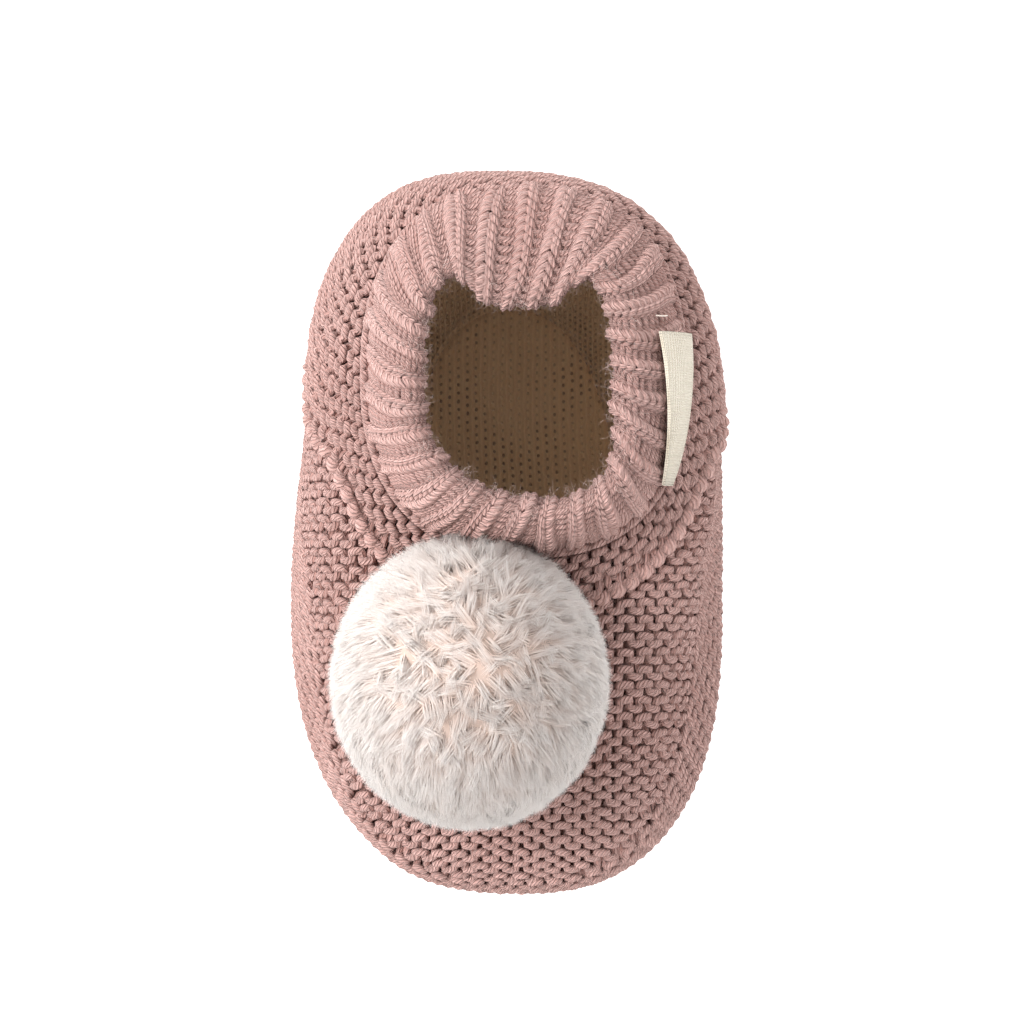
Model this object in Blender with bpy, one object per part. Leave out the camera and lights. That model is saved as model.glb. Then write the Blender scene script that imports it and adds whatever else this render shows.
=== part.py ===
"""Knitted baby slipper: garter-knit upper, ribbed collar, knitted sole, insole, pompom and side label.

The slipper stands on its flat sole at z = 0. The toe points to -Y, the heel to +Y, up is +Z.
Every table below is in millimetres and is scaled to metres when points are made.
"""
import math
import random

import bmesh
import bpy
import numpy as np
from mathutils import Vector
from mathutils.bvhtree import BVHTree

MM = 0.001

# Driving sizes, in millimetres.
GAP = 0.3
UPPER_WALL = 3.0
SOLE_WALL = 3.0
CUFF_WALL = 4.6
INSOLE_THICKNESS = 1.5
BAND_STEP = 0.8
RIDGE_HEIGHT = 0.6
RIB_COUNT = 26
RIB_HEIGHT = 0.42
LABEL_THICKNESS = 0.8

# Mesh resolution.
UPPER_AROUND = 72
CUFF_POINTS_PER_RIB = 6
INSOLE_AROUND = 40
INSOLE_BEVEL = 0.35
TANGENT_STEP = 0.02
ARC_SAMPLES = 720

# Columns shared by the section tables: a name, then one closed ring, an egg with squared corners.
# y_toe and y_heel are its two ends, y_mid the row where it is widest, half_w its half width there,
# x_mid its centre line and x_toe the extra sideways shift of the toe end. z_toe, z_side and z_heel
# are its heights, n_toe and n_heel how square each end is.
COLUMNS = ("y_toe", "y_heel", "y_mid", "half_w", "x_mid", "x_toe",
           "z_toe", "z_side", "z_heel", "n_toe", "n_heel")

BODY_SECTIONS = (
    # name, y_toe, y_heel, y_mid, half_w, x_mid, x_toe, z_toe, z_side, z_heel, n_toe, n_heel
    ("floor_edge", -42.0, 45.2, -6.0, 21.5, -0.3, 1.7, 0.0, 0.0, 0.0, 2.28, 2.45),
    ("sole_round", -47.2, 49.2, -7.5, 26.2, -0.2, 1.8, 1.5, 1.5, 1.5, 2.34, 2.55),
    ("sole_seam", -51.0, 51.9, -8.5, 29.6, -0.1, 2.0, 5.2, 5.2, 5.2, 2.39, 2.65),
    ("low_wall", -53.9, 53.9, -8.9, 31.9, -0.1, 2.1, 11.0, 11.5, 11.5, 2.43, 2.72),
    ("widest", -55.0, 54.5, -8.9, 32.7, -0.1, 2.1, 18.0, 19.0, 20.0, 2.45, 2.82),
    ("vamp_ridge", -53.4, 53.9, 3.0, 29.5, -0.5, 1.5, 24.8, 28.4, 28.5, 2.95, 2.72),
    ("vamp_low", -47.6, 53.5, 8.0, 28.6, 0.1, 1.1, 30.8, 32.6, 32.5, 2.70, 2.62),
    ("vamp_mid", -35.5, 53.1, 13.0, 27.6, 0.8, 0.8, 36.3, 36.2, 36.0, 2.52, 2.58),
    ("vamp_high", -21.5, 52.6, 17.5, 26.8, 1.5, 0.6, 39.6, 39.0, 39.0, 2.42, 2.54),
    ("ankle_edge", -9.5, 51.8, 21.0, 25.8, 2.1, 0.5, 41.4, 41.2, 41.6, 2.42, 2.48),
    ("collar_base", -3.0, 50.7, 23.5, 23.2, 2.5, 0.5, 43.4, 43.2, 43.8, 2.45, 2.45),
)
# Section numbers count the rows above from 0, and a number between two rows lies between them.
SOLE_FLOOR = 0.0
SOLE_SEAM = 2.0
VAMP_RIDGE = 5.0
COLLAR_BASE = 10.0
SOLE_ROWS = (0.0, 0.5, 1.0, 1.5)
SIDE_ROWS = (2.5, 3.2, 4.0, 4.72)
ABOVE_RIDGE = 5.2
VAMP_FRACTIONS = (0.16, 0.36, 0.57, 0.79)
BAND_STEP_HALF = 0.05
BAND_FRACTIONS = (0.3, 0.65)
INNER_ROWS = (3.0, 4.0, 5.0, 6.0, 7.0, 8.0, 9.0, 10.0)

# The foot isn't quite even left and right: the left side is drawn in at the waist, the right
# side is fuller by the heel, and the heel's end leans to the left. This fades out to the collar.
SWELL_COLUMNS = ("side", "y_middle", "half_length", "outward")
SIDE_SWELLS = (
    # name, side, y_middle, half_length, outward
    ("left_waist", -1.0, 15.5, 14.0, -1.9),
    ("right_fullness", 1.0, 27.0, 14.0, 0.9),
)
HEEL_LEAN = -1.1
HEEL_LEAN_POWER = 6
SWELL_FADE_SECTIONS = 5.0

# The quarters round out below the collar, one row for each body section, and this fades out
# forward of the ankle.
SHOULDER_COLUMNS = ("outward",)
QUARTER_SHOULDER = (
    # name, outward
    ("floor_edge", 0.0),
    ("sole_round", 0.0),
    ("sole_seam", 0.0),
    ("low_wall", 0.0),
    ("widest", 0.2),
    ("vamp_ridge", 2.2),
    ("vamp_low", 2.8),
    ("vamp_mid", 3.0),
    ("vamp_high", 2.5),
    ("ankle_edge", 1.2),
    ("collar_base", 0.0),
)
SHOULDER_Y_NONE = -14.0
SHOULDER_Y_FULL = 8.0

# The ankle band lies over the vamp. Its edge crosses the sections as this table says:
# angle in degrees from the side of the shoe (-90 is the toe), section number, share of the step.
BAND_COLUMNS = ("angle_deg", "section", "share")
BAND_EDGE = (
    (-90.0, 8.87, 1.0),
    (-43.0, 8.87, 1.0),
    (-25.0, 8.90, 1.0),
    (-12.0, 8.50, 1.0),
    (4.0, 7.00, 0.8),
    (16.0, 5.90, 0.4),
    (30.0, 5.60, 0.0),
    (90.0, 5.60, 0.0),
)

# The collar: rings from the outer foot of the cuff over its rolled rim and down inside.
# dent is how far the middle of the back is pushed in, rib the share of the rib height.
CUFF_COLUMNS = COLUMNS + ("dent", "rib")
CUFF_SECTIONS = (
    # name, y_toe, y_heel, y_mid, half_w, x_mid, x_toe, z_toe, z_side, z_heel, n_toe, n_heel, dent, rib
    ("low_out", -2.9, 50.4, 23.5, 23.0, 2.5, 0.7, 46.2, 46.0, 46.0, 2.50, 2.45, 0.0, 0.8),
    ("mid_out", -2.2, 48.2, 23.0, 22.0, 2.4, 1.2, 50.0, 50.0, 49.0, 2.50, 2.50, 0.3, 1.0),
    ("high_out", -0.7, 44.4, 22.0, 19.9, 2.2, 2.0, 54.0, 54.0, 51.9, 2.45, 2.55, 1.2, 1.0),
    ("crest", 2.2, 40.8, 20.9, 16.6, 1.9, 3.0, 57.4, 57.4, 54.6, 2.40, 2.95, 4.2, 1.0),
    ("rim_top", 4.6, 39.2, 20.2, 13.9, 1.7, 3.8, 56.7, 56.7, 54.3, 2.35, 3.50, 6.2, 0.7),
    ("rim_in", 5.4, 38.8, 19.9, 13.1, 1.7, 4.0, 53.6, 53.6, 51.4, 2.35, 3.90, 6.6, 0.4),
    ("in_mid", 4.4, 40.0, 20.6, 14.9, 1.9, 3.0, 49.6, 49.6, 47.8, 2.40, 3.40, 4.8, 0.2),
    ("in_low", 2.9, 42.9, 22.2, 17.2, 2.3, 1.5, 45.9, 45.9, 44.8, 2.45, 2.70, 1.6, 0.1),
)
DENT_CENTRE_X = 1.9
DENT_HALF_WIDTH = 8.0

# The insole board inside the foot.
INSOLE_ROW = ("insole", -38.5, 34.5, -4.0, 17.0, 0.6, 0.8, 0.0, 0.0, 0.0, 2.30, 2.30)

# The pompom, pressed a little flat on the vamp.
POMPOM_CENTRE = (-5.4, -21.5, 50.5)
POMPOM_RADII = (19.7, 20.9, 17.0)
POMPOM_FACE_LEVEL = 3
LOCK_HEIGHT = 1.1
LOCK_TAPER = 0.6
LOCK_LEAN = 0.45
LOCK_SEED = 7
POMPOM_CLEARANCE = 0.75
PRESS_ROUNDS = 16

# The label, a folded tape hanging on the right side of the cuff.
LABEL_COLUMNS = ("share_down", "x_back", "x_middle", "x_front", "z_back", "z_middle", "z_front")
LABEL_SECTIONS = (
    # share_down, x_back, x_middle, x_front, z_back, z_middle, z_front
    (0.0, 21.6, 22.9, 22.2, 55.0, 54.3, 50.9),
    (0.25, 23.5, 24.4, 22.7, 52.5, 52.0, 49.3),
    (0.5, 24.9, 25.4, 23.0, 49.9, 49.6, 47.7),
    (0.75, 25.7, 26.0, 23.3, 47.4, 47.2, 46.1),
    (1.0, 26.4, 26.3, 23.4, 45.1, 44.9, 44.6),
)
LABEL_Y_BACK = 28.9
LABEL_Y_FRONT = 6.8
LABEL_ALONG = 12
LABEL_DOWN = 6

COLOURS = {
    # slot: colour, roughness
    "garter_knit": ((0.53, 0.33, 0.31), 0.95),
    "rib_knit": ((0.57, 0.37, 0.34), 0.95),
    "sole_knit": ((0.50, 0.31, 0.29), 0.95),
    "lining_jersey": ((0.42, 0.31, 0.21), 0.95),
    "pompom_pile": ((0.82, 0.73, 0.69), 0.95),
    "label_tape": ((0.72, 0.68, 0.56), 0.90),
}


def column_values(rows, columns):
    """Turn a table into an array of its number columns, one row per section."""
    return np.array([row[-len(columns):] for row in rows], dtype=float)


def table_at(values, position):
    """Read a table between its rows with a smooth curve through them."""
    position = np.clip(np.asarray(position, dtype=float), 0.0, len(values) - 1.0)
    low = np.minimum(np.floor(position).astype(int), len(values) - 2)
    t = (position - low)[..., None]
    before = values[np.maximum(low - 1, 0)]
    here = values[low]
    there = values[low + 1]
    after = values[np.minimum(low + 2, len(values) - 1)]
    slope_here = 0.5 * (there - before)
    slope_there = 0.5 * (after - here)
    h00 = 2 * t ** 3 - 3 * t ** 2 + 1
    h10 = t ** 3 - 2 * t ** 2 + t
    h01 = -2 * t ** 3 + 3 * t ** 2
    h11 = t ** 3 - t ** 2
    return h00 * here + h10 * slope_here + h01 * there + h11 * slope_there


def ring_points(cells, angle):
    """Points of an egg ring. cells holds the columns of COLUMNS, angle is 0 at +X, 90 deg at the heel."""
    y_toe, y_heel, y_mid, half_w, x_mid, x_toe = (cells[..., i] for i in range(6))
    z_toe, z_side, z_heel, n_toe, n_heel = (cells[..., i] for i in range(6, 11))
    cosine = np.cos(angle)
    sine = np.sin(angle)
    heel_share = 0.5 + 0.5 * sine
    power = n_toe + (n_heel - n_toe) * heel_share
    reach = (np.abs(cosine) ** power + np.abs(sine) ** power) ** (-1.0 / power)
    toe_side = sine < 0
    length = np.where(toe_side, y_mid - y_toe, y_heel - y_mid)
    end_height = np.where(toe_side, z_toe, z_heel)
    sine_squared = sine ** 2
    x = x_mid + half_w * reach * cosine + np.where(toe_side, x_toe * sine_squared, 0.0)
    y = y_mid + length * reach * sine
    z = z_side + (end_height - z_side) * sine_squared
    return np.stack([x, y, z], axis=-1)


BODY = column_values(BODY_SECTIONS, COLUMNS)
CUFF = column_values(CUFF_SECTIONS, CUFF_COLUMNS)
BAND = column_values(BAND_EDGE, BAND_COLUMNS)
SWELLS = column_values(SIDE_SWELLS, SWELL_COLUMNS)
SHOULDER = column_values(QUARTER_SHOULDER, SHOULDER_COLUMNS)
LABEL = column_values(LABEL_SECTIONS, LABEL_COLUMNS)


def side_swell(angle, section, y):
    """How far the uneven sides and the leaning heel shift the plain rings along X."""
    shift = HEEL_LEAN * np.maximum(np.sin(angle), 0.0) ** HEEL_LEAN_POWER
    for side, y_middle, half_length, outward in SWELLS:
        facing = np.maximum(side * np.cos(angle), 0.0)
        shift = shift + side * outward * facing * np.exp(-((y - y_middle) / half_length) ** 2)
    return shift * np.clip((COLLAR_BASE - section) / SWELL_FADE_SECTIONS, 0.0, 1.0)


def shoulder_swell(angle, section, y):
    """How far the rounded quarters stand out along X from the plain rings."""
    share = np.clip((y - SHOULDER_Y_NONE) / (SHOULDER_Y_FULL - SHOULDER_Y_NONE), 0.0, 1.0)
    outward = table_at(SHOULDER, section)[..., 0]
    return outward * np.cos(angle) * share ** 2 * (3.0 - 2.0 * share)


def body_surface(angle, section):
    """Smooth outer face of the foot: angle around, section up from the floor edge."""
    points = ring_points(table_at(BODY, section), angle)
    y = points[..., 1]
    points[..., 0] += side_swell(angle, section, y) + shoulder_swell(angle, section, y)
    return points


def unit(vectors):
    return vectors / np.maximum(np.linalg.norm(vectors, axis=-1, keepdims=True), 1e-12)


def body_frame(angle, section):
    """Upward tangent and outward normal of the smooth outer face."""
    up_to = np.minimum(section + TANGENT_STEP, COLLAR_BASE)
    up_from = np.maximum(section - TANGENT_STEP, SOLE_FLOOR)
    upward = unit(body_surface(angle, up_to) - body_surface(angle, up_from))
    around = body_surface(angle + TANGENT_STEP, section) - body_surface(angle - TANGENT_STEP, section)
    outward = unit(np.cross(around, upward))
    return upward, outward


def bowed(first, middle, last, share):
    """A smooth bow through three values at the shares 0, a half and 1."""
    return (first * (1.0 - share) * (1.0 - 2.0 * share) + middle * 4.0 * share * (1.0 - share)
            + last * share * (2.0 * share - 1.0))


def band_at(angle):
    """Section number and step share of the ankle band's edge at an angle."""
    degrees = np.degrees(np.arcsin(np.sin(angle)))
    section = np.interp(degrees, BAND[:, 0], BAND[:, 1])
    share = np.interp(degrees, BAND[:, 0], BAND[:, 2])
    return section, share


def upper_rows(angle):
    """Section numbers of the outer mesh rows at an angle, and how far each row is raised."""
    edge, share = band_at(angle)
    flat = np.zeros_like(angle)
    below_step = edge - BAND_STEP_HALF
    above_step = edge + BAND_STEP_HALF
    ridge_share = np.clip(0.5 - 1.2 * np.sin(angle), 0.0, 1.0)
    rows = [(flat + section, flat) for section in (SOLE_SEAM,) + SIDE_ROWS]
    rows.append((flat + VAMP_RIDGE, RIDGE_HEIGHT * ridge_share))
    rows.append((flat + ABOVE_RIDGE, flat))
    for fraction in VAMP_FRACTIONS:
        rows.append((ABOVE_RIDGE + fraction * (below_step - ABOVE_RIDGE), flat))
    rows.append((below_step, flat))
    rows.append((above_step, BAND_STEP * share))
    for fraction in BAND_FRACTIONS:
        raised = BAND_STEP * share * (1.0 - 0.5 * fraction)
        rows.append((above_step + fraction * (COLLAR_BASE - above_step), raised))
    rows.append((flat + COLLAR_BASE, flat))
    return rows


def evenly_spaced_angles(row_cells, count):
    """Angles that cut a ring into equal lengths, starting at the toe end."""
    angle = np.linspace(-0.5 * math.pi, 1.5 * math.pi, ARC_SAMPLES + 1)
    points = ring_points(row_cells[None, :], angle)
    steps = np.linalg.norm(np.diff(points, axis=0), axis=1)
    run = np.concatenate([[0.0], np.cumsum(steps)])
    wanted = np.linspace(0.0, run[-1], count, endpoint=False)
    return np.interp(wanted, run, angle)


def new_material(slot):
    colour, roughness = COLOURS[slot]
    material = bpy.data.materials.new(slot)
    material.use_nodes = True
    shader = material.node_tree.nodes["Principled BSDF"]
    shader.inputs["Base Color"].default_value = (*colour, 1.0)
    shader.inputs["Roughness"].default_value = roughness
    shader.inputs["Metallic"].default_value = 0.0
    material.diffuse_color = (*colour, 1.0)
    return material


def add_object(name, slot, bm):
    """Put a finished bmesh, in millimetres, in the scene as a metre-sized object."""
    bmesh.ops.scale(bm, verts=bm.verts, vec=(MM, MM, MM))
    bmesh.ops.recalc_face_normals(bm, faces=bm.faces)
    mesh = bpy.data.meshes.new(name)
    bm.to_mesh(mesh)
    bm.free()
    mesh.materials.append(new_material(slot))
    for polygon in mesh.polygons:
        polygon.use_smooth = True
    thing = bpy.data.objects.new(name, mesh)
    bpy.context.scene.collection.objects.link(thing)
    return thing


def add_ring(bm, points):
    return [bm.verts.new(point) for point in points]


def join_rings(bm, lower, upper):
    """Quads between two rings of the same length."""
    count = len(lower)
    for index in range(count):
        after = (index + 1) % count
        bm.faces.new((lower[index], lower[after], upper[after], upper[index]))


def join_tube(bm, rings):
    """Close a list of rings into one tube whose last ring meets the first."""
    for lower, upper in zip(rings, rings[1:] + rings[:1]):
        join_rings(bm, lower, upper)


def close_ring(bm, ring, centre):
    """Fan from a ring to one centre point."""
    middle = bm.verts.new(centre)
    count = len(ring)
    for index in range(count):
        bm.faces.new((ring[index], ring[(index + 1) % count], middle))


def seam_offset(angle, section, distance):
    """Section number reached by walking a distance in millimetres along the face."""
    run = body_surface(angle, section + TANGENT_STEP) - body_surface(angle, section - TANGENT_STEP)
    per_section = np.linalg.norm(run, axis=-1) / (2.0 * TANGENT_STEP)
    return section + distance / per_section


def build_upper():
    """Hollow knitted foot, open at the collar and below, with the band step and vamp ridge."""
    angle = evenly_spaced_angles(table_at(BODY, np.array(VAMP_RIDGE)), UPPER_AROUND)
    bm = bmesh.new()
    rings = []
    start = seam_offset(angle, np.full_like(angle, SOLE_SEAM), 0.5 * GAP)
    for number, (section, raised) in enumerate(upper_rows(angle)):
        section = start if number == 0 else section
        outward = body_frame(angle, section)[1]
        points = body_surface(angle, section) + raised[:, None] * outward
        rings.append(add_ring(bm, points))
    inside = []
    for section in [start] + [np.full_like(angle, row) for row in INNER_ROWS]:
        outward = body_frame(angle, section)[1]
        inside.append(add_ring(bm, body_surface(angle, section) - UPPER_WALL * outward))
    join_tube(bm, rings + inside[::-1])
    return add_object("upper", "garter_knit", bm)


def build_sole():
    """Knitted sole: a shallow dish, flat under the foot, its edge turned up to the upper."""
    angle = evenly_spaced_angles(table_at(BODY, np.array(VAMP_RIDGE)), UPPER_AROUND)
    end = seam_offset(angle, np.full_like(angle, SOLE_SEAM), -0.5 * GAP)
    sections = [np.full_like(angle, row) for row in SOLE_ROWS] + [end]
    bm = bmesh.new()
    outside = []
    inside = []
    for section in sections:
        points = body_surface(angle, section)
        outward = body_frame(angle, section)[1]
        outside.append(add_ring(bm, points))
        inner = points - SOLE_WALL * outward
        inner[:, 2] = np.maximum(inner[:, 2], SOLE_WALL)
        inside.append(add_ring(bm, inner))
    rings = outside + inside[::-1]
    for lower, upper in zip(rings, rings[1:]):
        join_rings(bm, lower, upper)
    middle_y = 0.5 * (BODY[0][0] + BODY[0][1])
    for ring, height in ((outside[0], 0.0), (inside[0], SOLE_WALL)):
        half = [bm.verts.new((0.5 * vert.co.x, middle_y + 0.5 * (vert.co.y - middle_y), height))
                for vert in ring]
        join_rings(bm, ring, half)
        close_ring(bm, half, (0.0, middle_y, height))
    return add_object("sole", "sole_knit", bm)


def build_insole():
    """Thin board under the foot, lying just above the sole's inner face."""
    cells = np.array(INSOLE_ROW[1:], dtype=float)
    angle = evenly_spaced_angles(cells, INSOLE_AROUND)
    outline = ring_points(cells[None, :], angle)
    middle = np.array([cells[4], 0.5 * (cells[0] + cells[1]), 0.0])
    bottom = SOLE_WALL + GAP
    top = bottom + INSOLE_THICKNESS
    bevel = INSOLE_BEVEL
    bm = bmesh.new()
    rings = []
    for height, inset in ((bottom, bevel), (bottom + bevel, 0.0), (top - bevel, 0.0), (top, bevel)):
        points = outline - inset * unit(outline - middle)
        points[:, 2] = height
        rings.append(add_ring(bm, points))
    for lower, upper in zip(rings, rings[1:]):
        join_rings(bm, lower, upper)
    close_ring(bm, rings[0], (middle[0], middle[1], bottom))
    close_ring(bm, rings[-1], (middle[0], middle[1], top))
    return add_object("insole", "lining_jersey", bm)


def dented(points, depth):
    """Push the middle of the cuff's back in, between two folds."""
    sideways = (points[:, 0] - DENT_CENTRE_X) / DENT_HALF_WIDTH
    push = np.exp(-np.abs(sideways) ** 4) * (points[:, 1] > CUFF[0][2])
    points[:, 1] -= depth * push
    return points


def grid_normals(rings):
    """Outward normals of a closed tube of rings, from its neighbours."""
    across = np.roll(rings, -1, axis=0) - np.roll(rings, 1, axis=0)
    around = np.roll(rings, -1, axis=1) - np.roll(rings, 1, axis=1)
    return unit(np.cross(around, across))


def cuff_rings():
    """The cuff's closed profile rings; the first and last face the upper's top edge."""
    count = RIB_COUNT * CUFF_POINTS_PER_RIB
    foot = evenly_spaced_angles(BODY[-1], count)
    top = np.full_like(foot, COLLAR_BASE)
    upward, outward = body_frame(foot, top)
    edge = body_surface(foot, top) + GAP * upward
    rings = [edge]
    ribs = [np.zeros(count)]
    wave = np.cos(np.arange(count) * 2.0 * math.pi / CUFF_POINTS_PER_RIB)
    for row in CUFF:
        angle = evenly_spaced_angles(row[:11], count)
        rings.append(dented(ring_points(row[None, :11], angle), row[11]))
        ribs.append(RIB_HEIGHT * row[12] * wave)
    rings.append(edge - CUFF_WALL * outward)
    ribs.append(np.zeros(count))
    rings = np.array(rings)
    return rings + np.array(ribs)[..., None] * grid_normals(rings)


def build_cuff():
    """Ribbed collar: a thick doubled band with a rolled rim."""
    bm = bmesh.new()
    join_tube(bm, [add_ring(bm, points) for points in cuff_rings()])
    return add_object("cuff", "rib_knit", bm)


def push_out(trees, point):
    """Move that brings a point clear of the pieces it is pressed against."""
    push = Vector((0.0, 0.0, 0.0))
    for tree in trees:
        nearest, normal, index, distance = tree.find_nearest(point)
        outside = (point - nearest).dot(normal) >= 0.0
        depth = POMPOM_CLEARANCE - (distance if outside else -distance)
        if depth > 0.0:
            push += normal * depth
    return push


def build_pompom(neighbours):
    """Fleece ball with blunt locks, its underside shaped to the vamp and its back to the cuff."""
    bm = bmesh.new()
    bmesh.ops.create_icosphere(bm, subdivisions=POMPOM_FACE_LEVEL, radius=1.0)
    trees = []
    for thing in neighbours:
        points = [vert.co / MM for vert in thing.data.vertices]
        trees.append(BVHTree.FromPolygons(points, [tuple(p.vertices) for p in thing.data.polygons]))
    centre = Vector(POMPOM_CENTRE)
    for vert in bm.verts:
        vert.co = centre + Vector([vert.co[i] * POMPOM_RADII[i] for i in range(3)])
    down = Vector((0.0, 0.0, -1.0))
    for vert in bm.verts:
        above = Vector((vert.co.x, vert.co.y, 2.0 * centre.z))
        hit = trees[0].ray_cast(above, down)[0]
        if hit is not None:
            vert.co.z = max(vert.co.z, hit.z + POMPOM_CLEARANCE)
    for _ in range(PRESS_ROUNDS):
        for face in bm.faces:
            for point in [vert.co.copy() for vert in face.verts] + [face.calc_center_median()]:
                push = push_out(trees, point)
                for vert in face.verts:
                    vert.co += 0.5 * push
    bmesh.ops.recalc_face_normals(bm, faces=bm.faces)
    bm.normal_update()
    free = []
    pressed = []
    for face in bm.faces:
        middle = face.calc_center_median()
        clearance = min(tree.find_nearest(middle)[3] for tree in trees)
        near = clearance < POMPOM_CLEARANCE + 2.2 * LOCK_HEIGHT
        (pressed if near else free).append(face)
    bmesh.ops.inset_individual(bm, faces=free, thickness=LOCK_TAPER, depth=LOCK_HEIGHT)
    chance = random.Random(LOCK_SEED)
    for face in free:
        lean = Vector([chance.uniform(-LOCK_LEAN, LOCK_LEAN) for _ in range(3)])
        lean += face.normal * (chance.uniform(-LOCK_LEAN, LOCK_LEAN) - lean.dot(face.normal))
        for vert in face.verts:
            vert.co += lean
    return add_object("pompom", "pompom_pile", bm)


def build_label():
    """Folded woven tape, sewn to the cuff along its top and hanging free below."""
    forward = np.linspace(0.0, 1.0, LABEL_ALONG + 1)
    downward = np.linspace(0.0, 1.0, LABEL_DOWN + 1)
    face = np.zeros((LABEL_DOWN + 1, LABEL_ALONG + 1, 3))
    for i, share in enumerate(downward):
        x_back, x_middle, x_front, z_back, z_middle, z_front = (
            np.interp(share, LABEL[:, 0], LABEL[:, column]) for column in range(1, len(LABEL_COLUMNS)))
        face[i, :, 0] = bowed(x_back, x_middle, x_front, forward)
        face[i, :, 1] = LABEL_Y_BACK + (LABEL_Y_FRONT - LABEL_Y_BACK) * forward
        face[i, :, 2] = bowed(z_back, z_middle, z_front, forward)
    along = np.gradient(face, axis=1)
    across = np.gradient(face, axis=0)
    outward = unit(np.cross(across, along))
    outward *= np.sign(outward[..., :1])
    bm = bmesh.new()
    grids = []
    for offset in (0.0, LABEL_THICKNESS):
        points = face + offset * outward
        grids.append([[bm.verts.new(p) for p in row] for row in points])
    inner, outer = grids
    for grid in grids:
        for i in range(LABEL_DOWN):
            for j in range(LABEL_ALONG):
                bm.faces.new((grid[i][j], grid[i][j + 1], grid[i + 1][j + 1], grid[i + 1][j]))
    for i in (0, LABEL_DOWN):
        for j in range(LABEL_ALONG):
            bm.faces.new((inner[i][j], inner[i][j + 1], outer[i][j + 1], outer[i][j]))
    for j in (0, LABEL_ALONG):
        for i in range(LABEL_DOWN):
            bm.faces.new((inner[i][j], inner[i + 1][j], outer[i + 1][j], outer[i][j]))
    return add_object("label", "label_tape", bm)


def main():
    for thing in list(bpy.data.objects):
        bpy.data.objects.remove(thing, do_unlink=True)
    build_sole()
    upper = build_upper()
    cuff = build_cuff()
    build_insole()
    build_pompom((upper, cuff))
    build_label()


main()
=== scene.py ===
import math

import bmesh
import bpy
import numpy as np
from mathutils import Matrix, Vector
from mathutils.bvhtree import BVHTree


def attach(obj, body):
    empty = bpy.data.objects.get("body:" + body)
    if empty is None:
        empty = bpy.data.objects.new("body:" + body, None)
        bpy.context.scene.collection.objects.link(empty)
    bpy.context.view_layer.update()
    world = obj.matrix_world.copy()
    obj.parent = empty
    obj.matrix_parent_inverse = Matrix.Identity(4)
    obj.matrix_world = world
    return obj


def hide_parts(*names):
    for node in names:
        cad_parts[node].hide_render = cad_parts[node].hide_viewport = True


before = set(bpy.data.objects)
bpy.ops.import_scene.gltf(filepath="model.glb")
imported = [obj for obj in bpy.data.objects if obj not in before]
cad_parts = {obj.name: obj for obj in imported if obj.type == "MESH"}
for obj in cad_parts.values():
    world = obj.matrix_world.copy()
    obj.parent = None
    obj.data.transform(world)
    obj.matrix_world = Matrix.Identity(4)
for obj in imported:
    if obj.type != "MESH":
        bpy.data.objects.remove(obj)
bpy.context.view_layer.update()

# Lengths are in millimetres and are scaled to metres when a mesh is made.
MM = 0.001
FULL_TURN = 2.0 * math.pi

# ---- The last: the same section tables as the solids, toe to -Y, heel to +Y ----

BODY_SECTIONS = (
    # name, y_toe, y_heel, y_mid, half_w, x_mid, x_toe, z_toe, z_side, z_heel, n_toe, n_heel
    ("floor_edge", -42.0, 45.2, -6.0, 21.5, -0.3, 1.7, 0.0, 0.0, 0.0, 2.28, 2.45),
    ("sole_round", -47.2, 49.2, -7.5, 26.2, -0.2, 1.8, 1.5, 1.5, 1.5, 2.34, 2.55),
    ("sole_seam", -51.0, 51.9, -8.5, 29.6, -0.1, 2.0, 5.2, 5.2, 5.2, 2.39, 2.65),
    ("low_wall", -53.9, 53.9, -8.9, 31.9, -0.1, 2.1, 11.0, 11.5, 11.5, 2.43, 2.72),
    ("widest", -55.0, 54.5, -8.9, 32.7, -0.1, 2.1, 18.0, 19.0, 20.0, 2.45, 2.82),
    ("vamp_ridge", -53.4, 53.9, 3.0, 29.5, -0.5, 1.5, 24.8, 28.4, 28.5, 2.95, 2.72),
    ("vamp_low", -47.6, 53.5, 8.0, 28.6, 0.1, 1.1, 30.8, 32.6, 32.5, 2.70, 2.62),
    ("vamp_mid", -35.5, 53.1, 13.0, 27.6, 0.8, 0.8, 36.3, 36.2, 36.0, 2.52, 2.58),
    ("vamp_high", -21.5, 52.6, 17.5, 26.8, 1.5, 0.6, 39.6, 39.0, 39.0, 2.42, 2.54),
    ("ankle_edge", -9.5, 51.8, 21.0, 25.8, 2.1, 0.5, 41.4, 41.2, 41.6, 2.42, 2.48),
    ("collar_base", -3.0, 50.7, 23.5, 23.2, 2.5, 0.5, 43.4, 43.2, 43.8, 2.45, 2.45),
)
SOLE_SEAM = 2.0
VAMP_RIDGE = 5.0
COLLAR_BASE = 10.0

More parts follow.
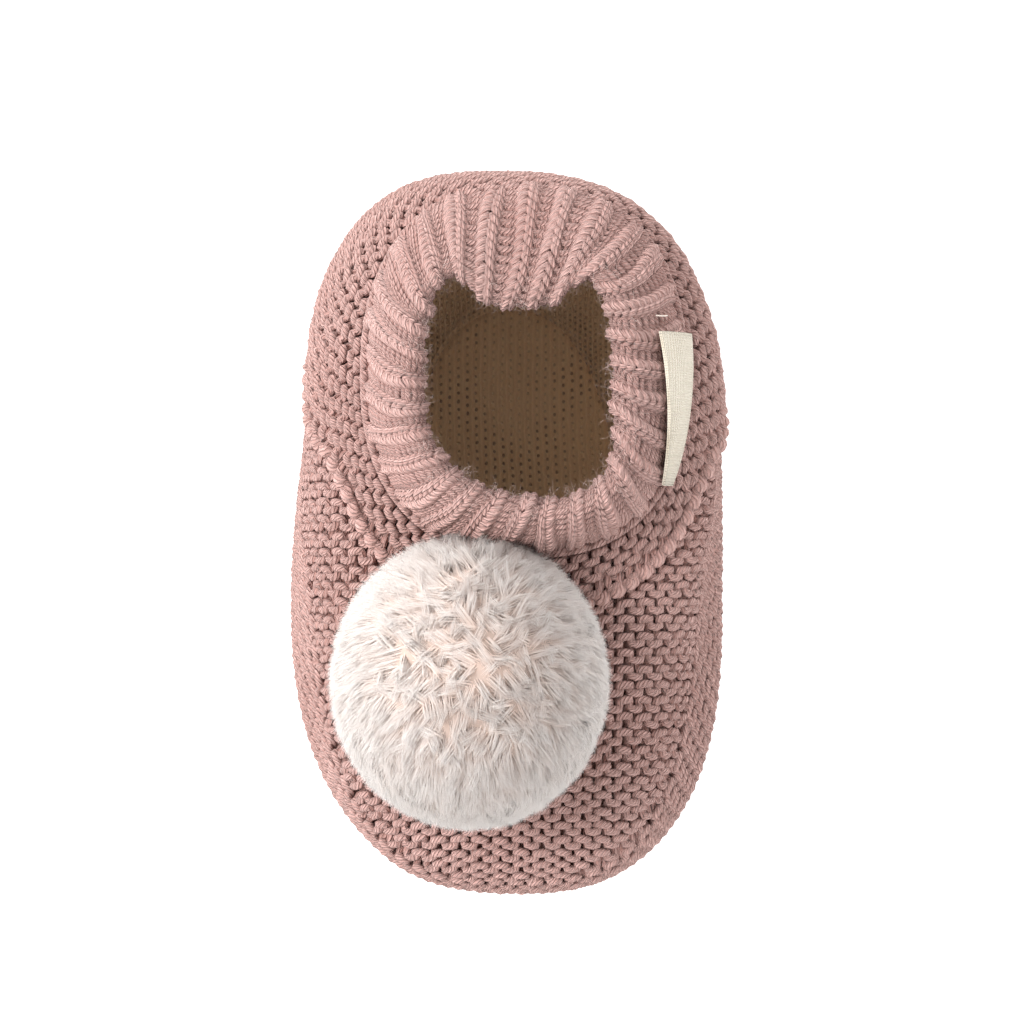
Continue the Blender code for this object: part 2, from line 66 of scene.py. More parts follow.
CUFF_SECTIONS = (
    # name, y_toe, y_heel, y_mid, half_w, x_mid, x_toe, z_toe, z_side, z_heel, n_toe, n_heel, dent
    ("low_out", -2.9, 50.4, 23.5, 23.0, 2.5, 0.7, 46.2, 46.0, 46.0, 2.50, 2.45, 0.0),
    ("mid_out", -2.2, 48.2, 23.0, 22.0, 2.4, 1.2, 50.0, 50.0, 49.0, 2.50, 2.50, 0.3),
    ("high_out", -0.7, 44.4, 22.0, 19.9, 2.2, 2.0, 54.0, 54.0, 51.9, 2.45, 2.55, 1.2),
    ("crest", 2.2, 40.8, 20.9, 16.6, 1.9, 3.0, 57.4, 57.4, 54.6, 2.40, 2.95, 4.2),
    ("rim_top", 4.6, 39.2, 20.2, 13.9, 1.7, 3.8, 56.7, 56.7, 54.3, 2.35, 3.50, 6.2),
    ("rim_in", 5.4, 38.8, 19.9, 13.1, 1.7, 4.0, 53.6, 53.6, 51.4, 2.35, 3.90, 6.6),
    ("in_mid", 4.4, 40.0, 20.6, 14.9, 1.9, 3.0, 49.6, 49.6, 47.8, 2.40, 3.40, 4.8),
    ("in_low", 2.9, 42.9, 22.2, 17.2, 2.3, 1.5, 45.9, 45.9, 44.8, 2.45, 2.70, 1.6),
)
DENT_CENTRE_X = 1.9
DENT_HALF_WIDTH = 8.0

# The left side is drawn in at the waist, the right is fuller by the heel, the heel leans left.
SIDE_SWELLS = (
    # name, side, y_middle, half_length, outward
    ("left_waist", -1.0, 15.5, 14.0, -1.9),
    ("right_fullness", 1.0, 27.0, 14.0, 0.9),
)
HEEL_LEAN = -1.1
HEEL_LEAN_POWER = 6
SWELL_FADE_SECTIONS = 5.0

# The quarters round out below the collar, one value for each section; it fades out to the toe.
QUARTER_SHOULDER = (0.0, 0.0, 0.0, 0.0, 0.2, 2.2, 2.8, 3.0, 2.5, 1.2, 0.0)
SHOULDER_Y_NONE = -14.0
SHOULDER_Y_FULL = 8.0

# The ankle band's lower edge: angle in degrees, section number, share of the step.
BAND_EDGE = (
    (-90.0, 8.87, 1.0),
    (-43.0, 8.87, 1.0),
    (-25.0, 8.90, 1.0),
    (-12.0, 8.50, 1.0),
    (4.0, 7.00, 0.8),
    (18.0, 5.60, 0.4),
    (32.0, 4.90, 0.0),
    (90.0, 4.90, 0.0),
)
BAND_STEP = 0.9
RIDGE_RISE = 0.5

# ---- The yarn ----

GARTER = {"pitch": 3.1, "course": 1.235, "rise": 2.0, "sway": 0.125, "depth": 0.92, "radius": 0.64,
          "square": 1.15, "step": 2.3, "mid": 1.35}
RIB = {"wales": 58, "courses": 21, "loop": 2.1, "sway": 0.34, "depth": 0.50,
       "points": 12, "sides": 5, "mid": 0.95, "wave": 0.24, "crowd": 0.03}
SIDE_WALES = 90
ANKLE_WALES = 58
SIDE_COURSES = 19
SOLE_EDGE = 0.7
SOLE_COURSES = 4
ANKLE_COURSES = 16
ANKLE_COURSE = 1.27
VAMP_CENTRE_X = 0.6
VAMP_Y_TOE = -53.2
VAMP_Y_TURN = -9.0
VAMP_Y_BACK = 20.0
VAMP_HALF_WALES = 14
YARN_PLIES = 4.0
YARN_FIBRES = 11.0

CAMERA_PLACE = (0.76, 2.97, 650.0)
CAMERA_LENS = 145.9
CAMERA_SENSOR = 36.0


def numbers(rows):
    """The number columns of a table whose rows may start with a name."""
    return np.array([[cell for cell in row if not isinstance(cell, str)] for row in rows], dtype=float)


BODY = numbers(BODY_SECTIONS)
CUFF = numbers(CUFF_SECTIONS)
BAND = numbers(BAND_EDGE)
SWELLS = numbers(SIDE_SWELLS)
SHOULDER = np.array(QUARTER_SHOULDER)[:, None]


def unit(vectors):
    return vectors / np.maximum(np.linalg.norm(vectors, axis=-1, keepdims=True), 1e-9)


def table_at(values, position):
    """Read a table between its rows with a smooth curve through them."""
    position = np.clip(np.asarray(position, dtype=float), 0.0, len(values) - 1.0)
    low = np.minimum(np.floor(position).astype(int), len(values) - 2)
    t = (position - low)[..., None]
    before = values[np.maximum(low - 1, 0)]
    here = values[low]
    there = values[low + 1]
    after = values[np.minimum(low + 2, len(values) - 1)]
    slope_here = 0.5 * (there - before)
    slope_there = 0.5 * (after - here)
    return ((2 * t ** 3 - 3 * t ** 2 + 1) * here + (t ** 3 - 2 * t ** 2 + t) * slope_here
            + (3 * t ** 2 - 2 * t ** 3) * there + (t ** 3 - t ** 2) * slope_there)


def ring_points(cells, angle):
    """Points of an egg ring; angle is 0 at +X and a quarter turn at the heel."""
    y_toe, y_heel, y_mid, half_w, x_mid, x_toe = (cells[..., i] for i in range(6))
    z_toe, z_side, z_heel, n_toe, n_heel = (cells[..., i] for i in range(6, 11))
    cosine = np.cos(angle)
    sine = np.sin(angle)
    power = n_toe + (n_heel - n_toe) * (0.5 + 0.5 * sine)
    reach = (np.abs(cosine) ** power + np.abs(sine) ** power) ** (-1.0 / power)
    toe_side = sine < 0
    length = np.where(toe_side, y_mid - y_toe, y_heel - y_mid)
    end_height = np.where(toe_side, z_toe, z_heel)
    x = x_mid + half_w * reach * cosine + np.where(toe_side, x_toe * sine ** 2, 0.0)
    y = y_mid + length * reach * sine
    z = z_side + (end_height - z_side) * sine ** 2
    return np.stack([x, y, z], axis=-1)


def swell(angle, section, y):
    """How far the uneven sides, the leaning heel and the round quarters shift a ring along X."""
    shift = HEEL_LEAN * np.maximum(np.sin(angle), 0.0) ** HEEL_LEAN_POWER
    for side, y_middle, half_length, outward in SWELLS:
        facing = np.maximum(side * np.cos(angle), 0.0)
        shift = shift + side * outward * facing * np.exp(-((y - y_middle) / half_length) ** 2)
    shift = shift * np.clip((COLLAR_BASE - section) / SWELL_FADE_SECTIONS, 0.0, 1.0)
    share = np.clip((y - SHOULDER_Y_NONE) / (SHOULDER_Y_FULL - SHOULDER_Y_NONE), 0.0, 1.0)
    return shift + table_at(SHOULDER, section)[..., 0] * np.cos(angle) * share ** 2 * (3.0 - 2.0 * share)


def body_point(angle, section):
    """A point of the foot's outer face."""
    points = ring_points(table_at(BODY, section), angle)
    points[..., 0] += swell(angle, section, points[..., 1])
    return points


def body_normal(angle, section):
    """The outward direction of the foot's outer face."""
    step = 0.02
    up_to = np.minimum(section + step, COLLAR_BASE)
    up_from = np.maximum(section - step, 0.0)
    upward = body_point(angle, up_to) - body_point(angle, up_from)
    around = body_point(angle + step, section) - body_point(angle - step, section)
    return unit(np.cross(around, upward))


def body_skin(angle, section, depth):
    """A point of the foot, depth millimetres inside its outer face."""
    return body_point(angle, section) - depth * body_normal(angle, section)


def even_angles(cells, count, first=-0.5 * math.pi):
    """Angles that cut a ring into equal lengths."""
    angle = np.linspace(first, first + FULL_TURN, 721)
    points = ring_points(cells[None, :], angle)
    run = np.concatenate([[0.0], np.cumsum(np.linalg.norm(np.diff(points, axis=0), axis=1))])
    return np.interp(np.linspace(0.0, run[-1], count, endpoint=False), run, angle)


def band_edge(angle):
    """Section of the ankle band's edge, and how proud the band stands there."""
    degrees = np.degrees(np.arcsin(np.sin(angle)))
    return np.interp(degrees, BAND[:, 0], BAND[:, 1]), np.interp(degrees, BAND[:, 0], BAND[:, 2])


def level_in_ring(cells, x, y):
    """How far out of a ring's middle a plan point lies, 1 on the ring itself, and its angle."""
    y_toe, y_heel, y_mid, half_w, x_mid, x_toe = (cells[..., i] for i in range(6))
    n_toe, n_heel = cells[..., 9], cells[..., 10]
    sine = np.zeros_like(x)
    for _ in range(4):
        middle = x_mid + np.where(sine < 0, x_toe * sine ** 2, 0.0)
        across = (x - middle) / half_w
        along = np.where(y < y_mid, (y - y_mid) / (y_mid - y_toe), (y - y_mid) / (y_heel - y_mid))
        angle = np.arctan2(along, across)
        sine = np.sin(angle)
    power = n_toe + (n_heel - n_toe) * (0.5 + 0.5 * sine)
    return (np.abs(across) ** power + np.abs(along) ** power) ** (1.0 / power), angle


def section_of(x, y, low, high):
    """Section number and angle of the skin over a plan point, between two section numbers."""
    shrinking = BODY[int(high)][3] < BODY[int(low)][3]
    below = np.full_like(x, low)
    above = np.full_like(x, high)
    for _ in range(26):
        middle = 0.5 * (below + above)
        level, angle = level_in_ring(table_at(BODY, middle), x, y)
        outside = level > 1.0
        go_low = outside if shrinking else ~outside
        above = np.where(go_low, middle, above)
        below = np.where(go_low, below, middle)
    return middle, angle


def skin_over(x, y, low, high):
    """Section number and angle of the swelled skin over a plan point."""
    shift = np.zeros_like(x)
    for _ in range(7):
        section, angle = section_of(x - shift, y, low, high)
        shift = 0.4 * shift + 0.6 * swell(angle, section, y)
    return section, angle


# ---- Meshes ----

def settle(bm, name, material):
    """Turn an edited mesh into a smooth object of the scene."""
    mesh = bpy.data.meshes.new(name)
    bm.to_mesh(mesh)
    bm.free()
    mesh.materials.append(material)
    mesh.shade_smooth()
    thing = bpy.data.objects.new(name, mesh)
    bpy.context.scene.collection.objects.link(thing)
    return thing


def add_piece(name, verts, faces, uv, painted_shade, material):
    """A mesh object from arrays: verts in millimetres, faces a list of equal-sided face arrays."""
    mesh = bpy.data.meshes.new(name)
    mesh.vertices.add(len(verts))
    mesh.vertices.foreach_set("co", (np.asarray(verts, dtype=np.float32) * MM).ravel())
    loops = np.concatenate([face.ravel() for face in faces])
    sizes = np.concatenate([np.full(len(face), face.shape[1]) for face in faces])
    starts = np.concatenate([[0], np.cumsum(sizes)[:-1]])
    mesh.loops.add(len(loops))
    mesh.loops.foreach_set("vertex_index", loops.astype(np.int32))
    mesh.polygons.add(len(sizes))
    mesh.polygons.foreach_set("loop_start", starts.astype(np.int32))
    mesh.polygons.foreach_set("use_smooth", np.full(len(sizes), True))
    mesh.update(calc_edges=True)
    if uv is not None:
        layer = mesh.uv_layers.new(name="yarn")
        layer.data.foreach_set("uv", np.asarray(uv, dtype=np.float32).ravel())
    # The painted shade of each vertex, which the paints turn into a darker colour.
    attribute = mesh.attributes.new("painted_shade", "FLOAT", "POINT")
    attribute.data.foreach_set("value", np.asarray(painted_shade, dtype=np.float32))
    mesh.validate()
    thing = bpy.data.objects.new(name, mesh)
    bpy.context.scene.collection.objects.link(thing)
    mesh.materials.append(material)
    return thing


class Yarns:
    """Gathers yarn paths and sweeps them all into one mesh of tubes."""

    def __init__(self, sides):
        self.sides = sides
        self.verts = []
        self.quads = []
        self.caps = []
        self.quad_uv = []
        self.cap_uv = []
        self.painted_shade = []
        self.count = 0

    def add(self, points, normals, radius, painted_shade, closed=False, along=None):
        """Sweep one path. radius and the painted shade have one value per point, along is its stitch
        coordinate.
        """
        rows, sides = len(points), self.sides
        if closed:
            tangent = np.roll(points, -1, axis=0) - np.roll(points, 1, axis=0)
        else:
            tangent = np.gradient(points, axis=0)
        tangent = unit(tangent)
        across = unit(np.cross(tangent, normals))
        upward = np.cross(across, tangent)
        turn = np.arange(sides) * FULL_TURN / sides
        ring = (np.cos(turn)[None, :, None] * upward[:, None, :]
                + np.sin(turn)[None, :, None] * across[:, None, :])
        verts = points[:, None, :] + ring * np.asarray(radius).reshape(-1, 1, 1)
        self.verts.append(verts.reshape(-1, 3))
        self.painted_shade.append(np.repeat(painted_shade, sides))
        if along is None:
            along = np.arange(rows, dtype=float)
        spans = rows if closed else rows - 1
        row = np.arange(spans)[:, None]
        side = np.arange(sides)[None, :]
        after = (row + 1) % rows
        beside = (side + 1) % sides
        base = self.count
        quads = np.stack([base + row * sides + side, base + row * sides + beside,
                          base + after * sides + beside, base + after * sides + side], axis=-1)
        self.quads.append(quads.reshape(-1, 4))
        step = along[1] - along[0] if rows > 1 else 1.0
        u_here = np.broadcast_to(along[:spans, None], (spans, sides))
        u_there = np.broadcast_to(np.append(along[1:], along[-1] + step)[:spans, None], (spans, sides))
        v_here = np.broadcast_to(side / sides, (spans, sides))
        v_there = v_here + 1.0 / sides
        uv = np.stack([np.stack([u_here, v_here], -1), np.stack([u_here, v_there], -1),
                       np.stack([u_there, v_there], -1), np.stack([u_there, v_here], -1)], axis=2)
        self.quad_uv.append(uv.reshape(-1, 2))
        if not closed:
            last = base + (rows - 1) * sides
            self.caps.append(np.array([[base + i for i in reversed(range(sides))],
                                       [last + i for i in range(sides)]]))
            ends = np.zeros((2, sides, 2))
            ends[0, :, 0] = along[0]
            ends[1, :, 0] = along[-1]
            self.cap_uv.append(ends.reshape(-1, 2))
        self.count += rows * sides

    def piece(self, name, material):
        faces = [np.concatenate(self.quads)]
        uv = [np.concatenate(self.quad_uv)]
        if self.caps:
            faces.append(np.concatenate(self.caps))
            uv.append(np.concatenate(self.cap_uv))
        return add_piece(name, np.concatenate(self.verts), faces, np.concatenate(uv),
                         np.concatenate(self.painted_shade), material)


class Cloth:
    """A knitted field: points and normals on a grid of courses by wale steps."""

    def __init__(self, points, normals, first_course, first_wale, wale_step, around=None):
        self.points = points
        self.normals = normals
        self.first_course = first_course
        self.first_wale = first_wale
        self.wale_step = wale_step
        self.around = around

    def at(self, wale, course):
        """Point and normal at fractional wale and course numbers."""
        rows, columns = self.points.shape[:2]
        row = np.clip(course - self.first_course, 0.0, rows - 1.001)
        column = (wale - self.first_wale) / self.wale_step
        if self.around:
            column = column % columns
            left = np.floor(column).astype(int) % columns
            right = (left + 1) % columns
        else:
            column = np.clip(column, 0.0, columns - 1.001)
            left = np.floor(column).astype(int)
            right = left + 1
        low = np.floor(row).astype(int)
        high = low + 1
        f = (row - low)[..., None]
        g = (column - np.floor(column))[..., None]
        result = []
        for grid in (self.points, self.normals):
            result.append((grid[low, left] * (1 - g) + grid[low, right] * g) * (1 - f)
                          + (grid[high, left] * (1 - g) + grid[high, right] * g) * f)
        return result[0], unit(result[1])


def wander(chance, count, size, closed):
    """A smooth random wobble, one value per stitch."""
    values = chance.uniform(-size, size, count)
    if closed:
        return 0.5 * values + 0.25 * (np.roll(values, 1) + np.roll(values, -1))
    return values


def knit_course(yarns, cloth, course, first, last, closed, chance, knit, per=12):
    """Add one garter course over stitches first to last; per is the number of points a stitch."""
    stitches = last - first
    number = np.repeat(np.arange(first, last), per)
    turn = np.tile(np.arange(per) * FULL_TURN / per, stitches)
    if not closed:
        number = np.append(number, last)
        turn = np.append(turn, 0.0)
    index = number - first
    turn = turn + 0.22 * np.sin(2.0 * turn)
    wobble = [np.append(wander(chance, stitches, size, closed), 0.0)[index]
              for size in (0.06, 0.12, 0.12, 0.04, 0.22)]
    wale = number + turn / FULL_TURN + GARTER["sway"] * np.sin(2.0 * turn) + wobble[0] * np.sin(turn)
    square = np.tanh(GARTER["square"] * np.cos(turn)) / math.tanh(GARTER["square"])
    climb = np.tanh(GARTER["step"] * np.cos(turn)) / math.tanh(GARTER["step"])
    up = course + GARTER["rise"] * 0.5 * (1.0 - climb) + wobble[1] * (1.0 - np.cos(turn))
    up = up + wobble[4] * np.sin(turn)
    side = -1.0 if knit else 1.0
    out = side * GARTER["depth"] * square + wobble[2] * np.sin(0.5 * turn)
    points, normals = cloth.at(wale, up)
    height = out - GARTER["mid"]
    radius = GARTER["radius"] * (0.95 + 0.08 * np.abs(square) + wobble[3])
    # Painted shade: yarn that lies further into the knit gets more of the darker colour.
    painted_shade = np.clip(0.5 - 0.5 * out / GARTER["depth"], 0.0, 1.0)
    yarns.add(points + height[:, None] * normals, normals, radius, painted_shade, closed, wale)


def runs_of(flags):
    """First and last-plus-one positions of each stretch of true flags."""
    padded = np.concatenate([[False], flags, [False]]).astype(int)
    change = np.diff(padded)
    return list(zip(np.nonzero(change == 1)[0], np.nonzero(change == -1)[0]))


# ---- Cloth fields of the foot ----

def climb_field(angle, low, high, targets, share_of_length):
    """Points at given distances along each meridian of the foot.

    targets holds distances in millimetres, or shares of the meridian's length between low and high.
    """
    sections = np.linspace(max(low - 0.6, 0.0), min(high + 0.8, COLLAR_BASE), 240)
    points = body_point(angle[None, :], sections[:, None])
    steps = np.linalg.norm(np.diff(points, axis=0), axis=2)
    run = np.concatenate([np.zeros((1, len(angle))), np.cumsum(steps, axis=0)])
    found = np.zeros((len(targets), len(angle)))
    for column in range(len(angle)):
        start = np.interp(low, sections, run[:, column])
        end = np.interp(high, sections, run[:, column])
        wanted = targets[:, column] * (end - start) if share_of_length else targets[:, column]
        found[:, column] = np.interp(start + wanted, run[:, column], sections)
    return found


def side_field(low, high, count):
    """Courses that run round the foot between two sections."""
    step = 0.25
    angle = even_angles(BODY[4], int(SIDE_WALES / step), 0.5 * math.pi)
    courses = np.arange(-1, count + 3)
    targets = np.repeat((courses / count)[:, None], len(angle), axis=1)
    section = climb_field(angle, low, high, targets, True)
    angles = np.repeat(angle[None, :], len(courses), axis=0)
    points = body_point(angles, section)
    normals = body_normal(angles, section)
    toe_share = np.clip(0.5 - 1.2 * np.sin(angles), 0.0, 1.0)
    rise = RIDGE_RISE * toe_share * np.exp(-((section - VAMP_RIDGE) / 0.3) ** 2)
    return Cloth(points + rise[..., None] * normals, normals, -1, 0.0, step, around=SIDE_WALES)


def ankle_field():
    """Ankle band: courses run parallel to the collar and end on the diagonal edge."""
    step = 0.25
    angle = even_angles(BODY[8], int(ANKLE_WALES / step), 0.5 * math.pi)
    fine = np.linspace(VAMP_RIDGE, COLLAR_BASE, 160)
    along = body_point(angle[None, :], fine[:, None])
    length = np.linalg.norm(np.diff(along, axis=0), axis=2).sum(axis=0)
    courses = np.arange(-1, ANKLE_COURSES + 3)
    targets = length[None, :] - (ANKLE_COURSES - courses)[:, None] * ANKLE_COURSE
    section = climb_field(angle, VAMP_RIDGE, COLLAR_BASE, targets, False)
    angles = np.repeat(angle[None, :], len(courses), axis=0)
    points = body_point(angles, section)
    normals = body_normal(angles, section)
    over = np.maximum(targets - length[None, :], 0.0)
    points[..., 2] += over
    share = band_edge(angles)[1]
    return Cloth(points + (BAND_STEP * share)[..., None] * normals, normals, -1, 0.0, step,
                 around=ANKLE_WALES), angle, section


def vamp_field():
    """Vamp: courses run straight across, from the toe back to the ankle band.

    Up to VAMP_Y_TURN the courses are spaced along the skin, and behind it along Y.
    """
    y = np.linspace(VAMP_Y_TOE, VAMP_Y_BACK, 330)
    x = np.full_like(y, VAMP_CENTRE_X)
    section, angle = skin_over(x, y, VAMP_RIDGE, COLLAR_BASE)
    profile = body_point(angle, section)
    profile[:, 1] = y
    run = np.concatenate([[0.0], np.cumsum(np.linalg.norm(np.diff(profile, axis=0), axis=1))])
    front = y < VAMP_Y_TURN
    front_run = np.interp(VAMP_Y_TURN, y, run)
    count = int(front_run / GARTER["course"])
    beyond = int((VAMP_Y_BACK - VAMP_Y_TURN) / GARTER["course"])
    courses = np.arange(0, count + beyond)
    row_y = np.interp(courses * GARTER["course"], run[front], y[front])
    tail = courses * GARTER["course"] - front_run
    row_y = np.where(tail > 0, VAMP_Y_TURN + tail, row_y)
    step = 0.25
    wales = np.arange(-VAMP_HALF_WALES, VAMP_HALF_WALES + step, step)
    points = np.zeros((len(courses), len(wales), 3))
    normals = np.zeros_like(points)
    limits = np.zeros((len(courses), 2))
    sections = np.zeros((len(courses), len(wales)))
    angles = np.zeros_like(sections)
    ring = body_point(np.linspace(-math.pi, math.pi, 1441), np.full(1441, VAMP_RIDGE))
    for i, height in enumerate(row_y):
        near = np.abs(ring[:, 1] - height) < 0.6
        left = ring[near & (ring[:, 0] < 0), 0]
        right = ring[near & (ring[:, 0] > 0), 0]
        x_left = left.min() if len(left) else -2.0
        x_right = right.max() if len(right) else 4.0
        fine_x = np.linspace(x_left + 0.05, x_right - 0.05, 181)
        fine_y = np.full_like(fine_x, height)
        section, angle = skin_over(fine_x, fine_y, VAMP_RIDGE, COLLAR_BASE)
        surface = body_point(angle, section)
        surface[:, 0] = fine_x
        surface[:, 1] = fine_y
        length = np.concatenate([[0.0], np.cumsum(np.linalg.norm(np.diff(surface, axis=0), axis=1))])
        length -= np.interp(VAMP_CENTRE_X, fine_x, length)
        wale_at = length / GARTER["pitch"]
        limits[i] = wale_at[0], wale_at[-1]
        for axis in range(3):
            points[i, :, axis] = np.interp(wales, wale_at, surface[:, axis])
        skin = body_normal(angle, section)
        for axis in range(3):
            normals[i, :, axis] = np.interp(wales, wale_at, skin[:, axis])
        sections[i] = np.interp(wales, wale_at, section)
        angles[i] = np.interp(wales, wale_at, np.unwrap(angle))
    return Cloth(points, unit(normals), 0, -float(VAMP_HALF_WALES), step), limits, sections, angles


def cuff_field(courses):
    """Cuff: courses run round the collar, from its foot over the rolled rim and down inside."""
    step = 0.25
    count = int(RIB["wales"] / step)
    foot_angle = even_angles(BODY[-1], count)
    rings = [body_point(foot_angle, np.full(count, COLLAR_BASE))]
    for position in np.linspace(0.0, len(CUFF) - 1.0, 57):
        cells = table_at(CUFF, np.array(position))
        points = ring_points(cells[None, :11], even_angles(cells[:11], count))
        sideways = (points[:, 0] - DENT_CENTRE_X) / DENT_HALF_WIDTH
        points[:, 1] -= cells[11] * np.exp(-np.abs(sideways) ** 4) * (points[:, 1] > cells[2])
        rings.append(points)
    rings = np.array(rings)
    run = np.concatenate([np.zeros((1, count)),
                          np.cumsum(np.linalg.norm(np.diff(rings, axis=0), axis=2), axis=0)])
    numbers_wanted = np.arange(-1, courses + 4)
    field = np.zeros((len(numbers_wanted), count, 3))
    for column in range(count):
        target = numbers_wanted / (courses + 3.0) * run[-1, column]
        for axis in range(3):
            field[:, column, axis] = np.interp(target, run[:, column], rings[:, column, axis])
    field[0] = 2.0 * field[1] - field[2]
    around = np.roll(field, -1, axis=1) - np.roll(field, 1, axis=1)
    upward = np.gradient(field, axis=0)
    return Cloth(field, unit(np.cross(around, upward)), -1, 0.0, step, around=RIB["wales"])


# ---- Shader maths ----

class Value:
    """One output socket, so that node maths can be written as Python."""

    def __init__(self, paint, socket):
        self.paint = paint
        self.socket = socket

    def _math(self, operation, *others):
        return self.paint.node("ShaderNodeMath", {"operation": operation}, list(others))

    def __add__(self, other):
        return self._math("ADD", self, other)

    __radd__ = __add__

    def __sub__(self, other):
        return self._math("SUBTRACT", self, other)

    def __rsub__(self, other):
        return self._math("SUBTRACT", other, self)

    def __mul__(self, other):
        return self._math("MULTIPLY", self, other)

    __rmul__ = __mul__

    def __truediv__(self, other):
        return self._math("DIVIDE", self, other)

    def __pow__(self, other):
        return self._math("POWER", self, other)

    def sine(self):
        return self._math("SINE", self)

    def absolute(self):
        return self._math("ABSOLUTE", self)

    def fraction(self):
        return self._math("FRACT", self)

    def floor(self):
        return self._math("FLOOR", self)

    def over(self, low, high):
        """This value from low to high as a smooth 0 to 1."""
        return self.paint.node("ShaderNodeMapRange", {"interpolation_type": "SMOOTHSTEP", "clamp": True},
                               {"Value": self, "From Min": low, "From Max": high})


class Paint:
    """A material and its shader, built node by node."""

    def __init__(self, name, **shader):
        self.material = bpy.data.materials.new(name)
        self.material.use_nodes = True
        self.tree = self.material.node_tree
        self.shader = self.tree.nodes["Principled BSDF"]
        for socket, value in shader.items():
            self.shader.inputs[socket.replace("_", " ")].default_value = value

    def node(self, kind, settings=None, inputs=(), out=0):
        """Add a node: settings first, then the values or links of its sockets."""
        made = self.tree.nodes.new(kind)
        for key, value in (settings or {}).items():
            setattr(made, key, value)
        pairs = inputs.items() if isinstance(inputs, dict) else enumerate(inputs)
        for key, value in pairs:
            if isinstance(value, Value):
                self.tree.links.new(value.socket, made.inputs[key])
            else:
                made.inputs[key].default_value = value
        return Value(self, made.outputs[out])

    def place(self):
        return self.node("ShaderNodeTexCoord", out="Object")

    def axis(self, vector, name):
        """One axis of a vector."""
        return self.node("ShaderNodeSeparateXYZ", None, {"Vector": vector}, out=name)

    def flat(self, layer="yarn"):
        """The two numbers of a UV map."""
        uv = self.node("ShaderNodeUVMap", {"uv_map": layer})
        return self.axis(uv, "X"), self.axis(uv, "Y")

    def number(self, attribute):
        return self.node("ShaderNodeAttribute", {"attribute_name": attribute}, out="Fac")

    def noise(self, scale, detail=2.0, roughness=0.5):
        """Cloudy noise; scale is in features per metre."""
        return self.node("ShaderNodeTexNoise", None, {"Vector": self.place(), "Scale": scale,
                                                      "Detail": detail, "Roughness": roughness})

    def blend(self, share, first, second):
        """Mix two colours, each a colour or a link."""
        full = [c if isinstance(c, Value) else (*c, 1.0) for c in (first, second)]
        return self.node("ShaderNodeMix", {"data_type": "RGBA", "clamp_factor": True},
                         {0: share, 6: full[0], 7: full[1]}, out=2)

    def feed(self, socket, value):
        self.tree.links.new(value.socket, self.shader.inputs[socket])

    def bump(self, height, distance):
        """Feed a height to the normal; distance is the height of 1 in metres."""
        self.feed("Normal", self.node("ShaderNodeBump", None, {"Height": height, "Distance": distance,
                                                               "Strength": 1.0}))


def yarn_paint(name, light, dark, lay=1.6):
    """Soft plied yarn: slanted plies, finer fibres in them, with painted shade that makes it darker and
    redder in the grooves of the plies and where it lies further into the knit.
    """
    paint = Paint(name, Roughness=0.9, Sheen_Weight=0.22, Sheen_Roughness=0.5, Specular_IOR_Level=0.15,
                  Sheen_Tint=(1.0, 0.80, 0.76, 1.0))
    along, around = paint.flat()
    painted_shade = paint.number("painted_shade")
    drift = paint.noise(600.0, 2.0)
    ply = ((around + along * lay) * (YARN_PLIES * FULL_TURN) + drift * 3.0).sine()
    fibres = ((around + along * lay * 0.8) * (YARN_FIBRES * FULL_TURN) + drift * 9.0).sine()
    speckle = paint.noise(2600.0, 3.0, 0.7)
    cloud = paint.noise(70.0, 2.0)
    paint.bump(ply * 0.5 + fibres * 0.16 + speckle * 0.4, 0.0004)
    # Painted shade: the colour darkens in the grooves of the plies and fibres and where the yarn lies
    # further in; speckle and cloud are the yarn's own uneven tone.
    share = (0.28 - ply * 0.14 - fibres * 0.06 + (speckle - 0.5) * 0.45 + (cloud - 0.5) * 0.5
             + painted_shade * 0.5).over(0.0, 1.0)
    paint.feed("Base Color", paint.blend(share, light, dark))
    return paint.material


def shade_backing_paint(name, light, dark):
    """The cloth seen between the yarns, painted dark for the shade inside the knit."""
    paint = Paint(name, Roughness=0.95, Sheen_Weight=0.2, Specular_IOR_Level=0.1)
    speckle = paint.noise(1500.0, 3.0)
    paint.feed("Base Color", paint.blend(speckle, light, dark))
    paint.bump(speckle, 0.0004)
    return paint.material


def jersey_paint(name, light, dark, hole_shade, column, row, hole_size):
    """Fine jersey with small open holes, one in every mesh of the knit; the holes are painted dark for the
    shade seen through them, and the low part of each rib gets painted shade.
    """
    paint = Paint(name, Roughness=0.9, Sheen_Weight=0.2, Sheen_Roughness=0.6, Specular_IOR_Level=0.15)
    place = paint.place()
    x = paint.axis(place, "X")
    y = paint.axis(place, "Y")
    sway = paint.noise(35.0, 1.0) - 0.5
    jitter = paint.noise(420.0, 1.0) - 0.5
    u = x / column + sway * 1.6 + jitter * 0.25
    v = y / row + u.floor() * 0.5 + sway * 0.8 + jitter * 0.4
    across = u.fraction() - 0.5
    along = v.fraction() - 0.5
    distance = (across * across * 1.0 + along * along * 0.6) ** 0.5
    open_here = paint.noise(130.0, 1.0).over(0.35, 0.7)
    pit = 1.0 - (distance - open_here * 0.05).over(hole_size * 0.4, hole_size * 1.6)
    rib = (across * FULL_TURN).sine().absolute()
    speckle = paint.noise(2200.0, 2.0)
    # Painted shade: the low part of each rib gets the darker colour; the speckle is the cloth's own uneven
    # tone.
    cloth = paint.blend(speckle * 0.5 + rib * 0.4, light, dark)
    # Painted shade: each of the holes is painted dark for the shade seen through it.
    paint.feed("Base Color", paint.blend(pit * (0.18 + open_here * 0.5), cloth, hole_shade))
    paint.bump(rib * -0.3 - pit * 0.7 + speckle * 0.3, 0.00025)
    return paint.material


